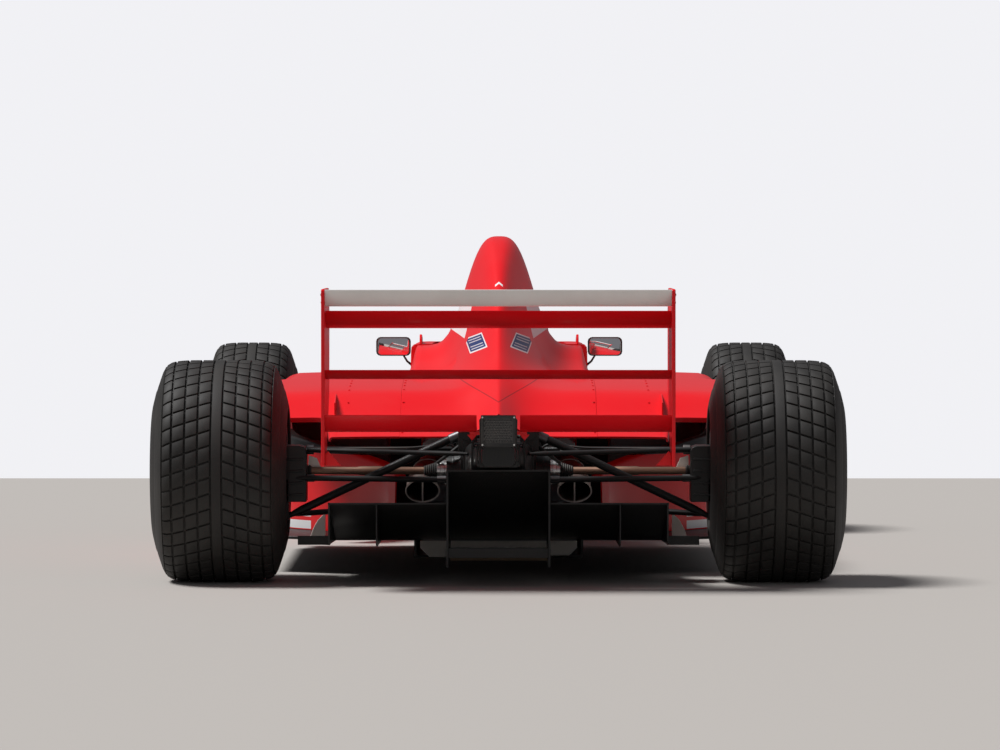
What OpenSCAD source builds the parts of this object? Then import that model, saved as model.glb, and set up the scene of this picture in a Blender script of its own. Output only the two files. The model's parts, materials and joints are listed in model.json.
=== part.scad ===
// Open wheel racing car of the two metre wide era, on wet weather tyres.
// Millimetres. +Y is forward, +X is the car's right, +Z is up. The origin is on the ground,
// under the middle of the overall box.

/* [Overall] */
// Distance between the front and rear axle lines
wheelbase = 2900; // [2750:10:3100]
// From the rear axle line to the rear edge of the rear wing
rear_overhang = 500; // [460:5:560]
// From the front axle line to the front edge of the front wing
front_overhang = 958; // [900:2:1040]
// Distance between the middles of the front tyres
front_track = 1682; // [1640:2:1760]
// Distance between the middles of the rear tyres
rear_track = 1605; // [1560:1:1680]
// Height of the flat reference plane above the ground
ride_height = 50; // [40:1:70]

/* [Tyres and wheels] */
// Outside diameter of a front tyre
front_tyre_d = 636; // [600:1:670]
// Outside diameter of a rear tyre
rear_tyre_d = 640; // [600:1:670]
// Widest section of a front tyre
front_tyre_w = 316; // [280:1:330]
// Widest section of a rear tyre
rear_tyre_w = 391; // [350:1:400]
// Radius of the wheel rim where the tyre sits
bead_r = 165; // [160:0.5:170]
// Thickness of the rim barrel
rim_wall = 8; // [6:0.5:12]
// Number of spokes in a wheel
spoke_count = 10; // [5:1:12]
// Radius of the hub spindle in its bearing
spindle_r = 30; // [24:1:36]
// Radial running clearance of shafts in their bearings
running_gap = 0.08; // [0.05:0.01:0.1]
// Radius of the brake disc
disc_r = 124; // [110:1:130]
// Thickness of the brake disc
disc_t = 28; // [20:1:30]

/* [Steering] */
// Largest steering angle of a front wheel, each way
steer_lock = 14; // [8:1:18]
// Length of the steering arm, from kingpin to track rod
steering_arm = 85; // [70:1:100]
// Distance of the kingpin inboard of the tyre's middle
kingpin_offset = 66; // [50:1:80]
// Radius of the steering wheel's rim
steering_wheel_r = 120; // [105:1:135]
// Radius of the steering column
column_r = 12; // [9:0.5:16]

/* [Body] */
// Half width of the sidepods
sidepod_w = 690; // [620:5:700]
// Height of the sidepod deck above the ground
deck_h = 572; // [540:1:600]
// Height of the airbox above the ground
airbox_h = 999; // [940:1:1020]
// Half width of the airbox
airbox_w = 147; // [120:1:165]
// Height of the cockpit sides
cockpit_h = 655; // [620:1:680]
// Half width of the cockpit sides
cockpit_w = 281; // [260:1:300]
// Half width of the cockpit opening
opening_w = 215; // [190:1:230]
// Thickness of the survival cell wall
tub_wall = 12; // [8:1:20]
// Thickness of the engine cover and sidepod panels
skin = 6; // [4:0.5:10]

/* [Wings] */
// Width of the rear wing over its endplates
rear_wing_w = 994; // [900:2:1000]
// Thickness of a wing endplate
endplate_t = 10; // [6:1:14]
// Height of the top edge of the rear wing
rear_wing_h = 848; // [800:2:880]
// Width of the front wing over its endplates
front_wing_w = 1400; // [1300:5:1400]
// Height of the front wing above the ground
front_wing_h = 96; // [85:1:130]

/* [Floor] */
// Height of the step between reference plane and step plane
floor_step = 50; // [40:1:60]
// Thickness of the floor panels
floor_t = 8; // [5:1:12]
// Width of the wooden plank
plank_w = 300; // [260:2:320]
// Thickness of the wooden plank
plank_t = 10; // [6:0.5:14]
// Half width of the diffuser
diffuser_w = 485; // [440:1:500]
// Half width of the middle diffuser tunnel
tunnel_w = 147; // [130:1:170]

/* [Hidden] */
$fn = 48;

// Places worked out from the driving dimensions
overall_l = wheelbase + rear_overhang + front_overhang;
rear_y = -overall_l / 2;
rear_axle = rear_y + rear_overhang;
front_axle = rear_axle + wheelbase;
front_y = overall_l / 2;
front_axle_z = front_tyre_d / 2;
rear_axle_z = rear_tyre_d / 2;
front_wheel_x = front_track / 2;
rear_wheel_x = rear_track / 2;
kingpin_x = front_wheel_x - kingpin_offset;
step_z = ride_height + floor_step;
floor_top = step_z + floor_t;
seam_x = cockpit_w + 9;          // where the engine cover meets the sidepods
joint_gap = 0.3;                 // gap between panels that sit against each other
body_rear = rear_axle + 199;     // rear edge of the deck
winglet_rear = rear_axle + 367;  // rear edge of the deck in front of the rear tyres
hot_air_y = rear_axle + 1059;    // front edge of the hot air outlet in the sidepod flank
inlet_y = 160;                   // front edge of the sidepods
airbox_y = -60;                  // front edge of the airbox
floor_rear = rear_axle + 329;    // where the flat floor ends and the diffuser starts
ball_h = 105;                    // height of the suspension ball joints above and below the axle
wing_in = rear_wing_w / 2 - endplate_t;

// ---------- curves and lofts ----------

function clamp01(t) = min(1, max(0, t));
function smooth(t) = let (u = clamp01(t)) u * u * (3 - 2 * u);
function secant(t, i) = (t[i + 1][1] - t[i][1]) / (t[i + 1][0] - t[i][0]);
function slope(t, i) =
    i == 0 ? secant(t, 0) :
    i == len(t) - 1 ? secant(t, i - 1) :
    let (a = secant(t, i - 1), b = secant(t, i)) a * b <= 0 ? 0 : 2 * a * b / (a + b);
function segment(t, y, i = 0) = (i >= len(t) - 2 || y <= t[i + 1][0]) ? i : segment(t, y, i + 1);
// Smooth curve through a table of [position, value], with no overshoot
function curve(t, y) =
    let (i = segment(t, y), h = t[i + 1][0] - t[i][0], u = clamp01((y - t[i][0]) / h),
         u2 = u * u, u3 = u2 * u)
    (2 * u3 - 3 * u2 + 1) * t[i][1] + (u3 - 2 * u2 + u) * h * slope(t, i)
    + (3 * u2 - 2 * u3) * t[i + 1][1] + (u3 - u2) * h * slope(t, i + 1);
function reversed(v) = [for (i = [len(v) - 1 : -1 : 0]) v[i]];
function flat(v) = [for (a = v) each a];
function mirrored_x(p) = [-p[0], p[1], p[2]];
function span(a, b, n) = [for (i = [0 : n]) a + (b - a) * i / n];

// Solid between rings of points that all have the same count, with a fan over each end
module solid_loft(rings) {
    n = len(rings[0]);
    m = len(rings);
    middle = function (r) [for (k = [0 : 2]) [for (p = r) p[k]] * [for (p = r) 1] / len(r)];
    points = concat(flat(rings), [middle(rings[0]), middle(rings[m - 1])]);
    faces = concat(
        [for (j = [0 : m - 2], i = [0 : n - 1]) let (k = (i + 1) % n)
            each [[j * n + i, j * n + k, (j + 1) * n + k], [j * n + i, (j + 1) * n + k, (j + 1) * n + i]]],
        [for (i = [0 : n - 1]) [m * n, (i + 1) % n, i]],
        [for (i = [0 : n - 1]) [m * n + 1, (m - 1) * n + i, (m - 1) * n + (i + 1) % n]]);
    polyhedron(points, faces, convexity = 8);
}

// Whether a skin whose rows and columns run along these grids must be turned to face outward
function turned(outer, inner) =
    cross(outer[0][1] - outer[0][0], outer[1][0] - outer[0][0]) * (outer[0][0] - inner[0][0]) > 0;

// Panel between an outer and an inner grid of points, closed along its four edges
module panel(outer, inner) {
    n = len(outer[0]);
    r = 2 * n;
    m = len(outer);
    rings = [for (j = [0 : m - 1]) concat(outer[j], reversed(inner[j]))];
    cap = function (j) [for (k = [0 : n - 2]) each
        [[j * r + k, j * r + k + 1, j * r + r - 2 - k], [j * r + k, j * r + r - 2 - k, j * r + r - 1 - k]]];
    faces = concat(
        [for (j = [0 : m - 2], i = [0 : r - 1]) let (k = (i + 1) % r)
            each [[j * r + i, j * r + k, (j + 1) * r + k], [j * r + i, (j + 1) * r + k, (j + 1) * r + i]]],
        [for (f = cap(0)) reversed(f)], cap(m - 1));
    polyhedron(flat(rings), turned(outer, inner) ? [for (f = faces) reversed(f)] : faces, convexity = 10);
}

// Closed shell between an outer and an inner set of rings, with a hole in rows j0 to j1 and
// columns i0 to i1 that joins the two skins
module pierced_shell(outer, inner, j0, j1, i0, i1) {
    n = len(outer[0]);
    m = len(outer);
    b = m * n;
    in_hole = function (j, i) j >= j0 && j < j1 && i >= i0 && i < i1;
    middle = function (r) [for (k = [0 : 2]) [for (p = r) p[k]] * [for (p = r) 1] / len(r)];
    points = concat(flat(outer), flat(inner),
        [middle(outer[0]), middle(outer[m - 1]), middle(inner[0]), middle(inner[m - 1])]);
    quad = function (a, b, c, d) [[a, b, c], [a, c, d]];
    skins = [for (j = [0 : m - 2], i = [0 : n - 1]) let (k = (i + 1) % n) each in_hole(j, i) ? [] :
        concat(quad(j * n + i, j * n + k, (j + 1) * n + k, (j + 1) * n + i),
            quad(b + (j + 1) * n + i, b + (j + 1) * n + k, b + j * n + k, b + j * n + i))];
    sides = concat(
        [for (j = [j0 : j1 - 1]) each quad(j * n + i0, (j + 1) * n + i0, b + (j + 1) * n + i0, b + j * n + i0)],
        [for (j = [j0 : j1 - 1]) each quad(b + j * n + i1, b + (j + 1) * n + i1, (j + 1) * n + i1, j * n + i1)],
        [for (i = [i0 : i1 - 1]) each quad(b + j0 * n + i, b + j0 * n + i + 1, j0 * n + i + 1, j0 * n + i)],
        [for (i = [i0 : i1 - 1]) each quad(j1 * n + i, j1 * n + i + 1, b + j1 * n + i + 1, b + j1 * n + i)]);
    caps = [for (i = [0 : n - 1]) let (k = (i + 1) % n) each [
        [2 * b, k, i], [2 * b + 1, (m - 1) * n + i, (m - 1) * n + k],
        [2 * b + 2, b + i, b + k], [2 * b + 3, b + (m - 1) * n + k, b + (m - 1) * n + i]]];
    polyhedron(points, concat(skins, sides, caps), convexity = 12);
}

// Right side and its mirror image
module both() {
    children();
    mirror([1, 0, 0]) children();
}

// Round bar between two points
module bar(a, b, r) {
    d = b - a;
    l = norm(d);
    translate(a) rotate([0, acos(d[2] / l), atan2(d[1], d[0])]) cylinder(h = l, r = r);
}

// Flat plate from an outline in the YZ plane, from x0 to x0 + t
module side_plate(outline, x0, t) {
    translate([x0, 0, 0]) rotate([90, 0, 90]) linear_extrude(t) polygon(outline);
}

// Outline of a wing section in the YZ plane. a and b are its leading and trailing edges, t its
// thickness and camber how far it hangs below the chord.
function wing_outline(a, b, t, camber, n = 12) =
    let (d = b - a, l = norm(d), u = d / l, v = [-u[1], u[0]], s = v[1] > 0 ? 1 : -1,
         line = function (k) -camber * 4 * k * (1 - k),
         half = function (k) t * (1.4845 * sqrt(k) - 0.63 * k - 1.758 * k * k + 1.4215 * pow(k, 3)
             - 0.518 * pow(k, 4)) + 0.8 * k,
         stations = [for (i = [0 : n]) pow(i / n, 1.6)])
    concat([for (k = stations) a + u * l * k + s * v * (line(k) + half(k))],
        [for (i = [n : -1 : 1]) let (k = stations[i]) a + u * l * k + s * v * (line(k) - half(k))]);

// ---------- survival cell ----------

keel_w = 232;                    // half width of the cell's foot, inside the floor's step
tub_front = front_axle + 279;
tub_rear = rear_axle + 1119;
opening_front = 640;
opening_rear = -40;
tub_half = [[tub_rear, 240], [-100, 262], [-57, 270], [-50, cockpit_w], [300, cockpit_w], [640, 262],
    [900, 215], [front_axle, 175], [tub_front, 150]];
tub_low = [[tub_rear, ride_height + floor_t + joint_gap], [500, ride_height + floor_t + joint_gap],
    [800, 98], [front_axle, 205], [tub_front, 238]];
tub_top = [[tub_rear, 505], [-300, 530], [-57, 545], [-50, cockpit_h], [300, cockpit_h], [600, cockpit_h - 4],
    [780, 612], [1000, 572], [front_axle, 538], [tub_front, 495]];
opening_half = [[opening_rear - 20, 130], [opening_rear, 150], [20, opening_w], [330, opening_w - 8],
    [540, 168], [opening_front, 90], [opening_front + 40, 60]];

// Half section of the cell as [x, z], from the middle of the bottom to the middle of the top
function tub_half_section(y, t) =
    let (w = curve(tub_half, y) - t, z0 = curve(tub_low, y) + t, z1 = curve(tub_top, y) - t,
         r = min(38, w / 3), rt = min(26, w / 4), e = curve(opening_half, y), wl = min(w * 0.9, keel_w - t))
    [[0, z0], [wl * 0.5, z0], [wl - r, z0], [wl - r * 0.29, z0 + r * 0.29], [wl, z0 + r],
     [w - 2, z0 + (z1 - z0) * 0.45], [w, z0 + (z1 - z0) * 0.7], [w, z1 - rt],
     [w - rt * 0.29, z1 - rt * 0.29], [w - rt, z1], [min(e, w - rt - 4), z1],
     [min(e, w - rt - 4) * 0.5, z1 + 1], [0, z1 + 1.5]];
function tub_ring(y, yr, t) =
    let (h = tub_half_section(y, t), n = len(h))
    concat([for (p = h) [p[0], yr, p[1]]], [for (i = [n - 2 : -1 : 1]) [-h[i][0], yr, h[i][1]]]);
collar_front = 250;
tub_stations = [tub_rear, -300, -100, -57, -50, opening_rear, 20, 160, collar_front, 330, 450, 540, opening_front, 700, 780,
    900, 1060, front_axle, tub_front - 140, tub_front];
// The inner skin stops at the seat back bulkhead, because the fuel tank fills the rear of the cell
tub_inner_y = [for (y = tub_stations)
    y < -52 ? opening_rear - 40 - (opening_rear - 40 - y) * 0.04 :
    y < opening_rear ? opening_rear - 30 :
    y >= tub_front ? tub_front - tub_wall : y];
opening_j0 = 5;
opening_j1 = 12;
opening_i0 = 10;
opening_i1 = 14;
rod_y = front_axle + steering_arm;
rod_z = front_axle_z + 40;
rod_r = 8;
rack_housing_r = 15;
rack_housing_l = 2 * (curve(tub_half, rod_y) + 6);

module monocoque() {
    color("red") difference() {
        pierced_shell([for (y = tub_stations) tub_ring(y, y, 0)],
            [for (j = [0 : len(tub_stations) - 1]) tub_ring(max(tub_stations[j], -49), tub_inner_y[j], tub_wall)],
            opening_j0, opening_j1, opening_i0, opening_i1);
        // Holes for the rack housing and for the suspension legs
        rack_line(rack_housing_r + joint_gap, 2 * cockpit_w);
        front_legs(joint_gap);
    }
}

module rack_line(r, l) {
    translate([-l / 2, rod_y, rod_z]) rotate([0, 90, 0]) cylinder(h = l, r = r);
}

column_tilt = 14;
column_foot = [0, 700, 452];
column_l = 330;
dash_y = 655;

// Bulkhead in front of the driver with the steering column's bearing, and the rack's housing
module dashboard() {
    ring = [for (p = tub_ring(dash_y, dash_y, tub_wall + 3 * joint_gap)) [p[0], p[2]]];
    color("dimgray") {
        difference() {
            union() {
                translate([0, dash_y, 0]) rotate([90, 0, 0]) linear_extrude(14) intersection() {
                    polygon(ring);
                    translate([-cockpit_w, 300]) square([2 * cockpit_w, cockpit_h]);
                }
                translate(column_foot) rotate([90 - column_tilt, 0, 0])
                    translate([0, 0, 24]) cylinder(h = 62, r = column_r + 9);
            }
            translate(column_foot) rotate([90 - column_tilt, 0, 0])
                translate([0, 0, -20]) cylinder(h = column_l, r = column_r + running_gap);
        }
        difference() {
            rack_line(rack_housing_r, rack_housing_l);
            rack_line(rod_r + running_gap, rack_housing_l + 2);
        }
    }
}

module steering_wheel() {
    color("dimgray") translate(column_foot) rotate([90 - column_tilt, 0, 0]) {
        translate([0, 0, -15]) cylinder(h = column_l + 15, r = column_r);
        translate([0, 0, -15]) cylinder(h = 12, r = column_r * 1.6);
        translate([0, 0, column_l - 12]) cylinder(h = 24, r = 34);
        translate([0, 0, column_l]) rotate_extrude() translate([steering_wheel_r, 0]) circle(r = 13);
        for (a = [0, 180]) rotate([0, 0, a])
            translate([20, -22, column_l - 6]) cube([steering_wheel_r - 24, 44, 10]);
    }
}

module windscreen() {
    ring = function (k) [for (a = span(-75, 75, 12)) let (r = 1 - 0.06 * k, y = 520 + 190 * cos(a) * r)
        [170 * r * sin(a) / sin(75), y, (curve(tub_top, 520 + 190 * cos(a)) + 2.6) * (1 - k)
            + k * (cockpit_h + 50 - 8 * abs(sin(a)))]];
    thin = function (r) [for (p = r) [p[0] * 0.985, p[1] - 3, p[2]]];
    rings = [for (k = [0, 0.5, 1]) ring(k)];
    color("lightgray") panel(rings, [for (r = rings) thin(r)]);
}

// Soft headrest that runs round the rear of the cockpit opening
module cockpit_collar() {
    inside = 135;
    head_y = 140;
    ys = [opening_rear, 20, 160, collar_front];
    edge = function (y) curve(opening_half, y) - 2 * joint_gap;
    outline = concat([for (y = ys) [edge(y), max(y, opening_rear + joint_gap)]],
        [for (y = reversed(ys)) [-edge(y), max(y, opening_rear + joint_gap)]]);
    color("dimgray") translate([0, 0, cockpit_h - 78]) linear_extrude(80) difference() {
        polygon(outline);
        translate([0, head_y]) circle(r = inside);
        translate([-inside, head_y]) square([2 * inside, 200]);
    }
}

seat_floor = ride_height + floor_t + tub_wall + 2 * joint_gap;
seat_line = [for (p = [[430, 58], [330, 16], [200, 0], [90, 20], [20, 98], [-8, 208], [-24, 328], [-34, 428]])
    [p[0], p[1] + seat_floor]];
// Moulded bucket that the driver sits in
module seat() {
    n = len(seat_line);
    tangent = function (j) let (d = seat_line[min(j + 1, n - 1)] - seat_line[max(j - 1, 0)]) d / norm(d);
    row = function (j, t) let (p = seat_line[j], d = tangent(j), up = [-d[1], d[0]] * -1)
        [for (a = span(-1, 1, 10)) let (rise = 90 * pow(abs(a), 4) + t, q = p + up * rise)
            [a * (168 - t * 0.9), q[0], q[1]]];
    color("black") panel([for (j = [0 : n - 1]) row(j, 0)], [for (j = [0 : n - 1]) row(j, 8)]);
}

module side_fins() {
    color("red") both() side_plate([[-30, cockpit_h + joint_gap], [210, cockpit_h + joint_gap],
        [150, cockpit_h + 20], [20, cockpit_h + 30], [-10, cockpit_h + 30]], cockpit_w - 34, 7);
}

mirror_y = 250;
// Rounded housings on short stalks
module mirrors() {
    w = 112;
    h = 61;
    color("black") both() {
        translate([cockpit_w + 6, mirror_y, cockpit_h - 44]) hull() {
            for (x = [12, w - 12], z = [12, h - 12]) translate([x, 0, z]) rotate([-90, 0, 0])
                cylinder(h = 30, r = 12, $fn = 24);
            translate([w / 2, 62, h / 2]) sphere(r = 14, $fn = 24);
        }
        hull() {
            translate([cockpit_w + 24, mirror_y + 20, cockpit_h - 40]) cube([16, 26, 4]);
            translate([cockpit_w + joint_gap, mirror_y + 10, cockpit_h - 88]) cube([6, 40, 22]);
        }
    }
}

// ---------- nose and front wing ----------

nose_tip = front_y - 92;
pylon_front = front_y - 210;
pylon_rear = front_y - 440;
nose_half = [[tub_front, 150], [pylon_rear, 122], [pylon_front, 100], [nose_tip - 40, 70], [nose_tip, 34]];
nose_top = [[tub_front, 495], [pylon_rear, 440], [pylon_front, 392], [nose_tip - 40, 352], [nose_tip, 326]];
nose_low = [[tub_front, 238], [pylon_rear, 250], [pylon_front, 262], [nose_tip - 40, 276], [nose_tip, 296]];
nose_stations = [tub_front + joint_gap, tub_front + 90, pylon_rear, pylon_front, pylon_front + 55,
    nose_tip - 40, nose_tip - 16, nose_tip];
function nose_ring(y) =
    let (w = curve(nose_half, y), z0 = curve(nose_low, y), z1 = curve(nose_top, y), r = min(38, w / 2.2),
         rt = min(60, w / 2),
         h = [[0, z0], [w * 0.62, z0], [w - r * 0.29, z0 + r * 0.29], [w, z0 + r],
              [w, (z0 + z1) / 2], [w - 2, z1 - rt], [w - 2 - rt * 0.29, z1 - rt * 0.29], [w - rt, z1 - 3],
              [w * 0.25, z1], [0, z1 + 2]],
         n = len(h))
    concat([for (p = h) [p[0], y, p[1]]], [for (i = [n - 2 : -1 : 1]) [-h[i][0], y, h[i][1]]]);

module nose_cone() {
    color("red") solid_loft([for (y = nose_stations) nose_ring(y)]);
}

front_wing_le = front_y;
front_wing_te = front_y - 300;
front_span = front_wing_w / 2 - endplate_t - joint_gap;
pylon_x = 52;
pylon_foot = front_wing_h + 26;

module front_wing_main() {
    under = function (y) nose_ring(y)[0][2] - joint_gap;
    color("red") {
        translate([-front_span, 0, 0]) side_plate(
            wing_outline([front_wing_le - 18, front_wing_h + 22], [front_wing_te, front_wing_h + 28], 22, 14),
            0, 2 * front_span);
        // Two pylons that hang the wing from the nose
        both() side_plate([[pylon_rear, pylon_foot - 10], [pylon_front - 20, pylon_foot - 12],
            [pylon_front, under(pylon_front)], [pylon_rear, under(pylon_rear)]], pylon_x, 9);
    }
}

flap_gap_y = 8;
module front_wing_flaps() {
    le = [front_wing_te + 44, front_wing_h + 52];
    te = [front_wing_te - 78, front_wing_h + 112];
    color("red") both() translate([150, 0, 0])
        side_plate(wing_outline(le, te, 13, 9), 0, front_span - 150);
}

module front_wing_endplates() {
    z0 = front_wing_h - 42;
    z1 = front_wing_h + 150;
    color("red") both() side_plate([[front_y, z0 + 12], [front_y - 10, z0 + 92], [front_y - 150, z1 - 30],
        [front_y - 360, z1], [front_y - 410, z1 - 20], [front_y - 420, z0 + 30], [front_y - 380, z0],
        [front_y - 40, z0]], front_wing_w / 2 - endplate_t, endplate_t);
}

// ---------- engine cover and sidepods ----------

deck_z = [[body_rear, 412], [rear_axle + 280, 432], [winglet_rear, 468], [rear_axle + 529, 538],
    [rear_axle + 779, deck_h - 16], [rear_axle + 1079, deck_h - 6], [-200, deck_h], [inlet_y, deck_h - 14]];
ridge_z = [[body_rear, 478], [rear_axle + 279, 506], [rear_axle + 479, 578], [rear_axle + 779, 702],
    [rear_axle + 1079, 836], [-350, airbox_h - 59], [-180, airbox_h - 7], [-110, airbox_h], [airbox_y, airbox_h - 5]];
spine_w = [[body_rear, 62], [rear_axle + 479, 84], [rear_axle + 879, 104], [-400, airbox_w - 19],
    [-150, airbox_w], [airbox_y, airbox_w]];
spine_p = [[body_rear, 1.4], [rear_axle + 679, 1.6], [-500, 2.2], [-150, 3], [airbox_y, 3.1]];
shelf_h = [[-480, 0], [-300, 34], [-140, 76], [airbox_y, cockpit_h - deck_h]];
deck_crossfall = 8;

function deck_height(x, y) = curve(deck_z, y) - deck_crossfall * pow(max(0, abs(x) - seam_x) / 400, 2);
// Height of the engine cover: deck, shelf behind the cockpit and spine behind the airbox
function cover_height(x, y) =
    let (d = deck_height(x, y), w = curve(spine_w, y) * 0.85, p = curve(spine_p, y),
         shelf = y > -480 ? curve(shelf_h, y) * (1 - smooth((abs(x) - cockpit_w + 22) / 26)) : 0)
    d + shelf + (curve(ridge_z, y) - d - shelf) * exp(-pow(abs(x) / w, p));

cover_columns = [0, 10, 22, 36, 52, 70, 90, 112, 136, 162, 195, 228, cockpit_w - 22, cockpit_w - 12,
    cockpit_w - 4, seam_x];
cover_stations = concat(span(body_rear, -560, 9), [-480, -400, -320, -240, -180, -140, -110, -80, airbox_y]);
// Point under the cover surface, moved in by the skin's thickness along the surface normal
function cover_inner(x, y, t) =
    let (e = 2, dx = (cover_height(x + e, y) - cover_height(x - e, y)) / (2 * e),
         dy = (cover_height(x, y + e) - cover_height(x, y - e)) / (2 * e),
         n = [-dx, 0, 1] / sqrt(dx * dx + 1), limit = abs(x) < 1 ? 0 : 1)
    [x - n[0] * t * limit, y, cover_height(x, y) - (limit > 0 ? n[2] * t : t * sqrt(1 + dy * dy) * 1.4)];

module engine_cover() {
    xs = concat([for (x = reversed(cover_columns)) -x], [for (i = [1 : len(cover_columns) - 1]) cover_columns[i]]);
    color("red") panel(
        [for (y = cover_stations) [for (x = xs) [x, y, cover_height(x, y)]]],
        [for (y = cover_stations) [for (x = xs) cover_inner(x, y, skin)]]);
}

// Duct behind the airbox opening that feeds the engine
module intake_duct() {
    ring = function (r, t) [for (a = [0 : 15 : 345])
        [(r[1] - t) * cos(a) * (1 - 0.28 * sin(a)), r[0], r[3] + (r[2] - t) * sin(a)]];
    rows = [[airbox_y - 5, 84, 92, 868], [-160, 80, 90, 862], [-300, 70, 76, 818], [-440, 62, 60, 750],
        [-555, 60, 52, 690]];
    edge = [for (x = span(-airbox_w, airbox_w, 28)) let (p = cover_inner(x, airbox_y - 4, skin + 3 * joint_gap))
        [p[0], p[2]]];
    foot = cockpit_h - 30;
    color("dimgray") {
        tube_shell([for (r = rows) ring(r, 0)], [for (r = rows) ring(r, 5)]);
        // Lip that closes the space between the duct and the cover
        translate([0, airbox_y - 1, 0]) rotate([90, 0, 0]) linear_extrude(7) difference() {
            polygon(concat(edge, [[airbox_w, foot], [-airbox_w, foot]]));
            polygon([for (p = ring(rows[0], -joint_gap)) [p[0], p[2]]]);
        }
    }
}

// Tube between an outer and an inner set of closed rings
module tube_shell(outer, inner) {
    n = len(outer[0]);
    m = len(outer);
    b = m * n;
    quad = function (a, b, c, d) [[a, b, c], [a, c, d]];
    faces = [for (i = [0 : n - 1]) let (k = (i + 1) % n, e = (m - 1) * n)
        each concat([for (j = [0 : m - 2]) each concat(
                quad(j * n + i, j * n + k, (j + 1) * n + k, (j + 1) * n + i),
                quad(b + j * n + k, b + j * n + i, b + (j + 1) * n + i, b + (j + 1) * n + k))],
            quad(k, i, b + i, b + k), quad(e + i, e + k, b + e + k, b + e + i))];
    polyhedron(concat(flat(outer), flat(inner)),
        turned(outer, inner) ? [for (f = faces) reversed(f)] : faces, convexity = 8);
}

deck_edge = [[body_rear, diffuser_w + 12], [winglet_rear - 8, 512], [winglet_rear, sidepod_w],
    [-700, sidepod_w], [-200, sidepod_w], [inlet_y, sidepod_w - 22]];
pod_stations = concat([body_rear, rear_axle + 260, winglet_rear - 8, winglet_rear],
    span(winglet_rear + 60, hot_air_y - 60, 6), [hot_air_y], span(hot_air_y + 60, airbox_y, 6),
    [airbox_y + 12, 40, 110, inlet_y - 20, inlet_y]);
// Right sidepod section from the seam over the shoulder and down the flank
function pod_row(y, t) =
    let (flank = smooth((y - hot_air_y + 60) / 60), xo = curve(deck_edge, y), zo = deck_height(xo, y),
         r = 10 + 48 * flank, foot = floor_top + joint_gap, zf = flank * foot + (1 - flank) * (zo - 14),
         lean = 10 * flank, xi = (y > airbox_y + 1 ? cockpit_w : seam_x) + joint_gap)
    concat([for (x = span(xi, xo - r, 6)) [x, y, deck_height(x, y) - t]],
        [for (a = [70, 45, 20]) [xo - r + (r - t) * cos(a), y, zo - r + (r - t) * sin(a)]],
        [for (z = span(zo - r, zf, 3)) [xo - t - lean * (zo - r - z) / 500, y, z]]);

module sidepods() {
    color("red") both() panel([for (y = pod_stations) pod_row(y, 0)], [for (y = pod_stations) pod_row(y, skin)]);
}

coke_x = [[floor_rear - 30, 300], [rear_axle + 429, 335], [rear_axle + 579, 430], [rear_axle + 729, 555],
    [rear_axle + 879, 648], [hot_air_y - 8, sidepod_w - 14]];
coke_top = [[floor_rear - 30, 285], [rear_axle + 679, 362], [rear_axle + 879, 392], [hot_air_y - 8, 404]];
// Low walls that narrow the body in front of the rear tyres
module coke_panels() {
    ys = span(floor_rear + 2, hot_air_y - 8, 12);
    row = function (y, t) [for (z = span(floor_top + joint_gap, curve(coke_top, y), 4))
        [curve(coke_x, y) - 6 * pow((z - 100) / 250, 2) - t, y, z]];
    color("red") both() panel([for (y = ys) row(y, 0)], [for (y = ys) row(y, skin)]);
}

module radiators() {
    tall = 400;
    thick = 46;
    rake = 18;
    foot = floor_top + joint_gap + (tall * cos(rake) + thick * sin(rake)) / 2;
    color("darkgray") both() translate([478, -330, foot]) rotate([0, 0, 24]) rotate([rake, 0, 0])
        cube([330, thick, tall], center = true);
}

// Vertical vanes between the front wheels and the sidepods
module bargeboards() {
    line = [[350, 740], [372, 640], [408, 520], [470, 400], [540, 310]];
    row = function (p, t) [for (z = span(step_z - 38, 330, 4)) let (k = (z - step_z) / 240)
        [p[0] + 14 * k - t, p[1] - 26 * k, z]];
    color("red") both() {
        panel([for (p = line) row(p, 0)], [for (p = line) row(p, 5)]);
        // Stay that holds the vane to the floor's front edge
        translate([250 + joint_gap, 508, ride_height + 20]) cube([158, 20, 8]);
    }
}

// ---------- floor ----------

module floor() {
    half = [[0, 700], [150, 700], [250, 560], [250, 200], [520, 120], [sidepod_w, 20], [sidepod_w + 8, -60],
        [sidepod_w + 8, winglet_rear + 80], [560, winglet_rear], [diffuser_w, floor_rear], [0, floor_rear]];
    plan = concat(half, [for (i = [len(half) - 2 : -1 : 1]) [-half[i][0], half[i][1]]]);
    color("black") {
        // Step plane on each side
        translate([0, 0, step_z]) linear_extrude(floor_t) difference() {
            polygon(plan);
            translate([-242, floor_rear - 10]) square([484, 1200 - floor_rear]);
        }
        // Reference plane in the middle
        translate([0, 0, ride_height]) linear_extrude(floor_t) intersection() {
            polygon(plan);
            translate([-250, floor_rear]) square([500, 1200 - floor_rear]);
        }
        // Walls of the step, and the plate that closes its rear end
        both() translate([242, floor_rear, ride_height]) cube([8, 560 - floor_rear, floor_step + floor_t]);
        translate([-242, floor_rear, ride_height]) cube([484, 6, floor_step]);
    }
}

module plank() {
    color("peru") translate([-plank_w / 2, floor_rear, ride_height - plank_t]) cube([plank_w, 680 - floor_rear, plank_t]);
}

diffuser_rear = rear_axle - 271;
diffuser_h = 247;
tunnel_h = 335;
function rising(y0, z0, y1, z1) = [for (k = span(0, 1, 8)) [y0 + (y1 - y0) * k, z0 + (z1 - z0) * pow(k, 1.35)]];
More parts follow.
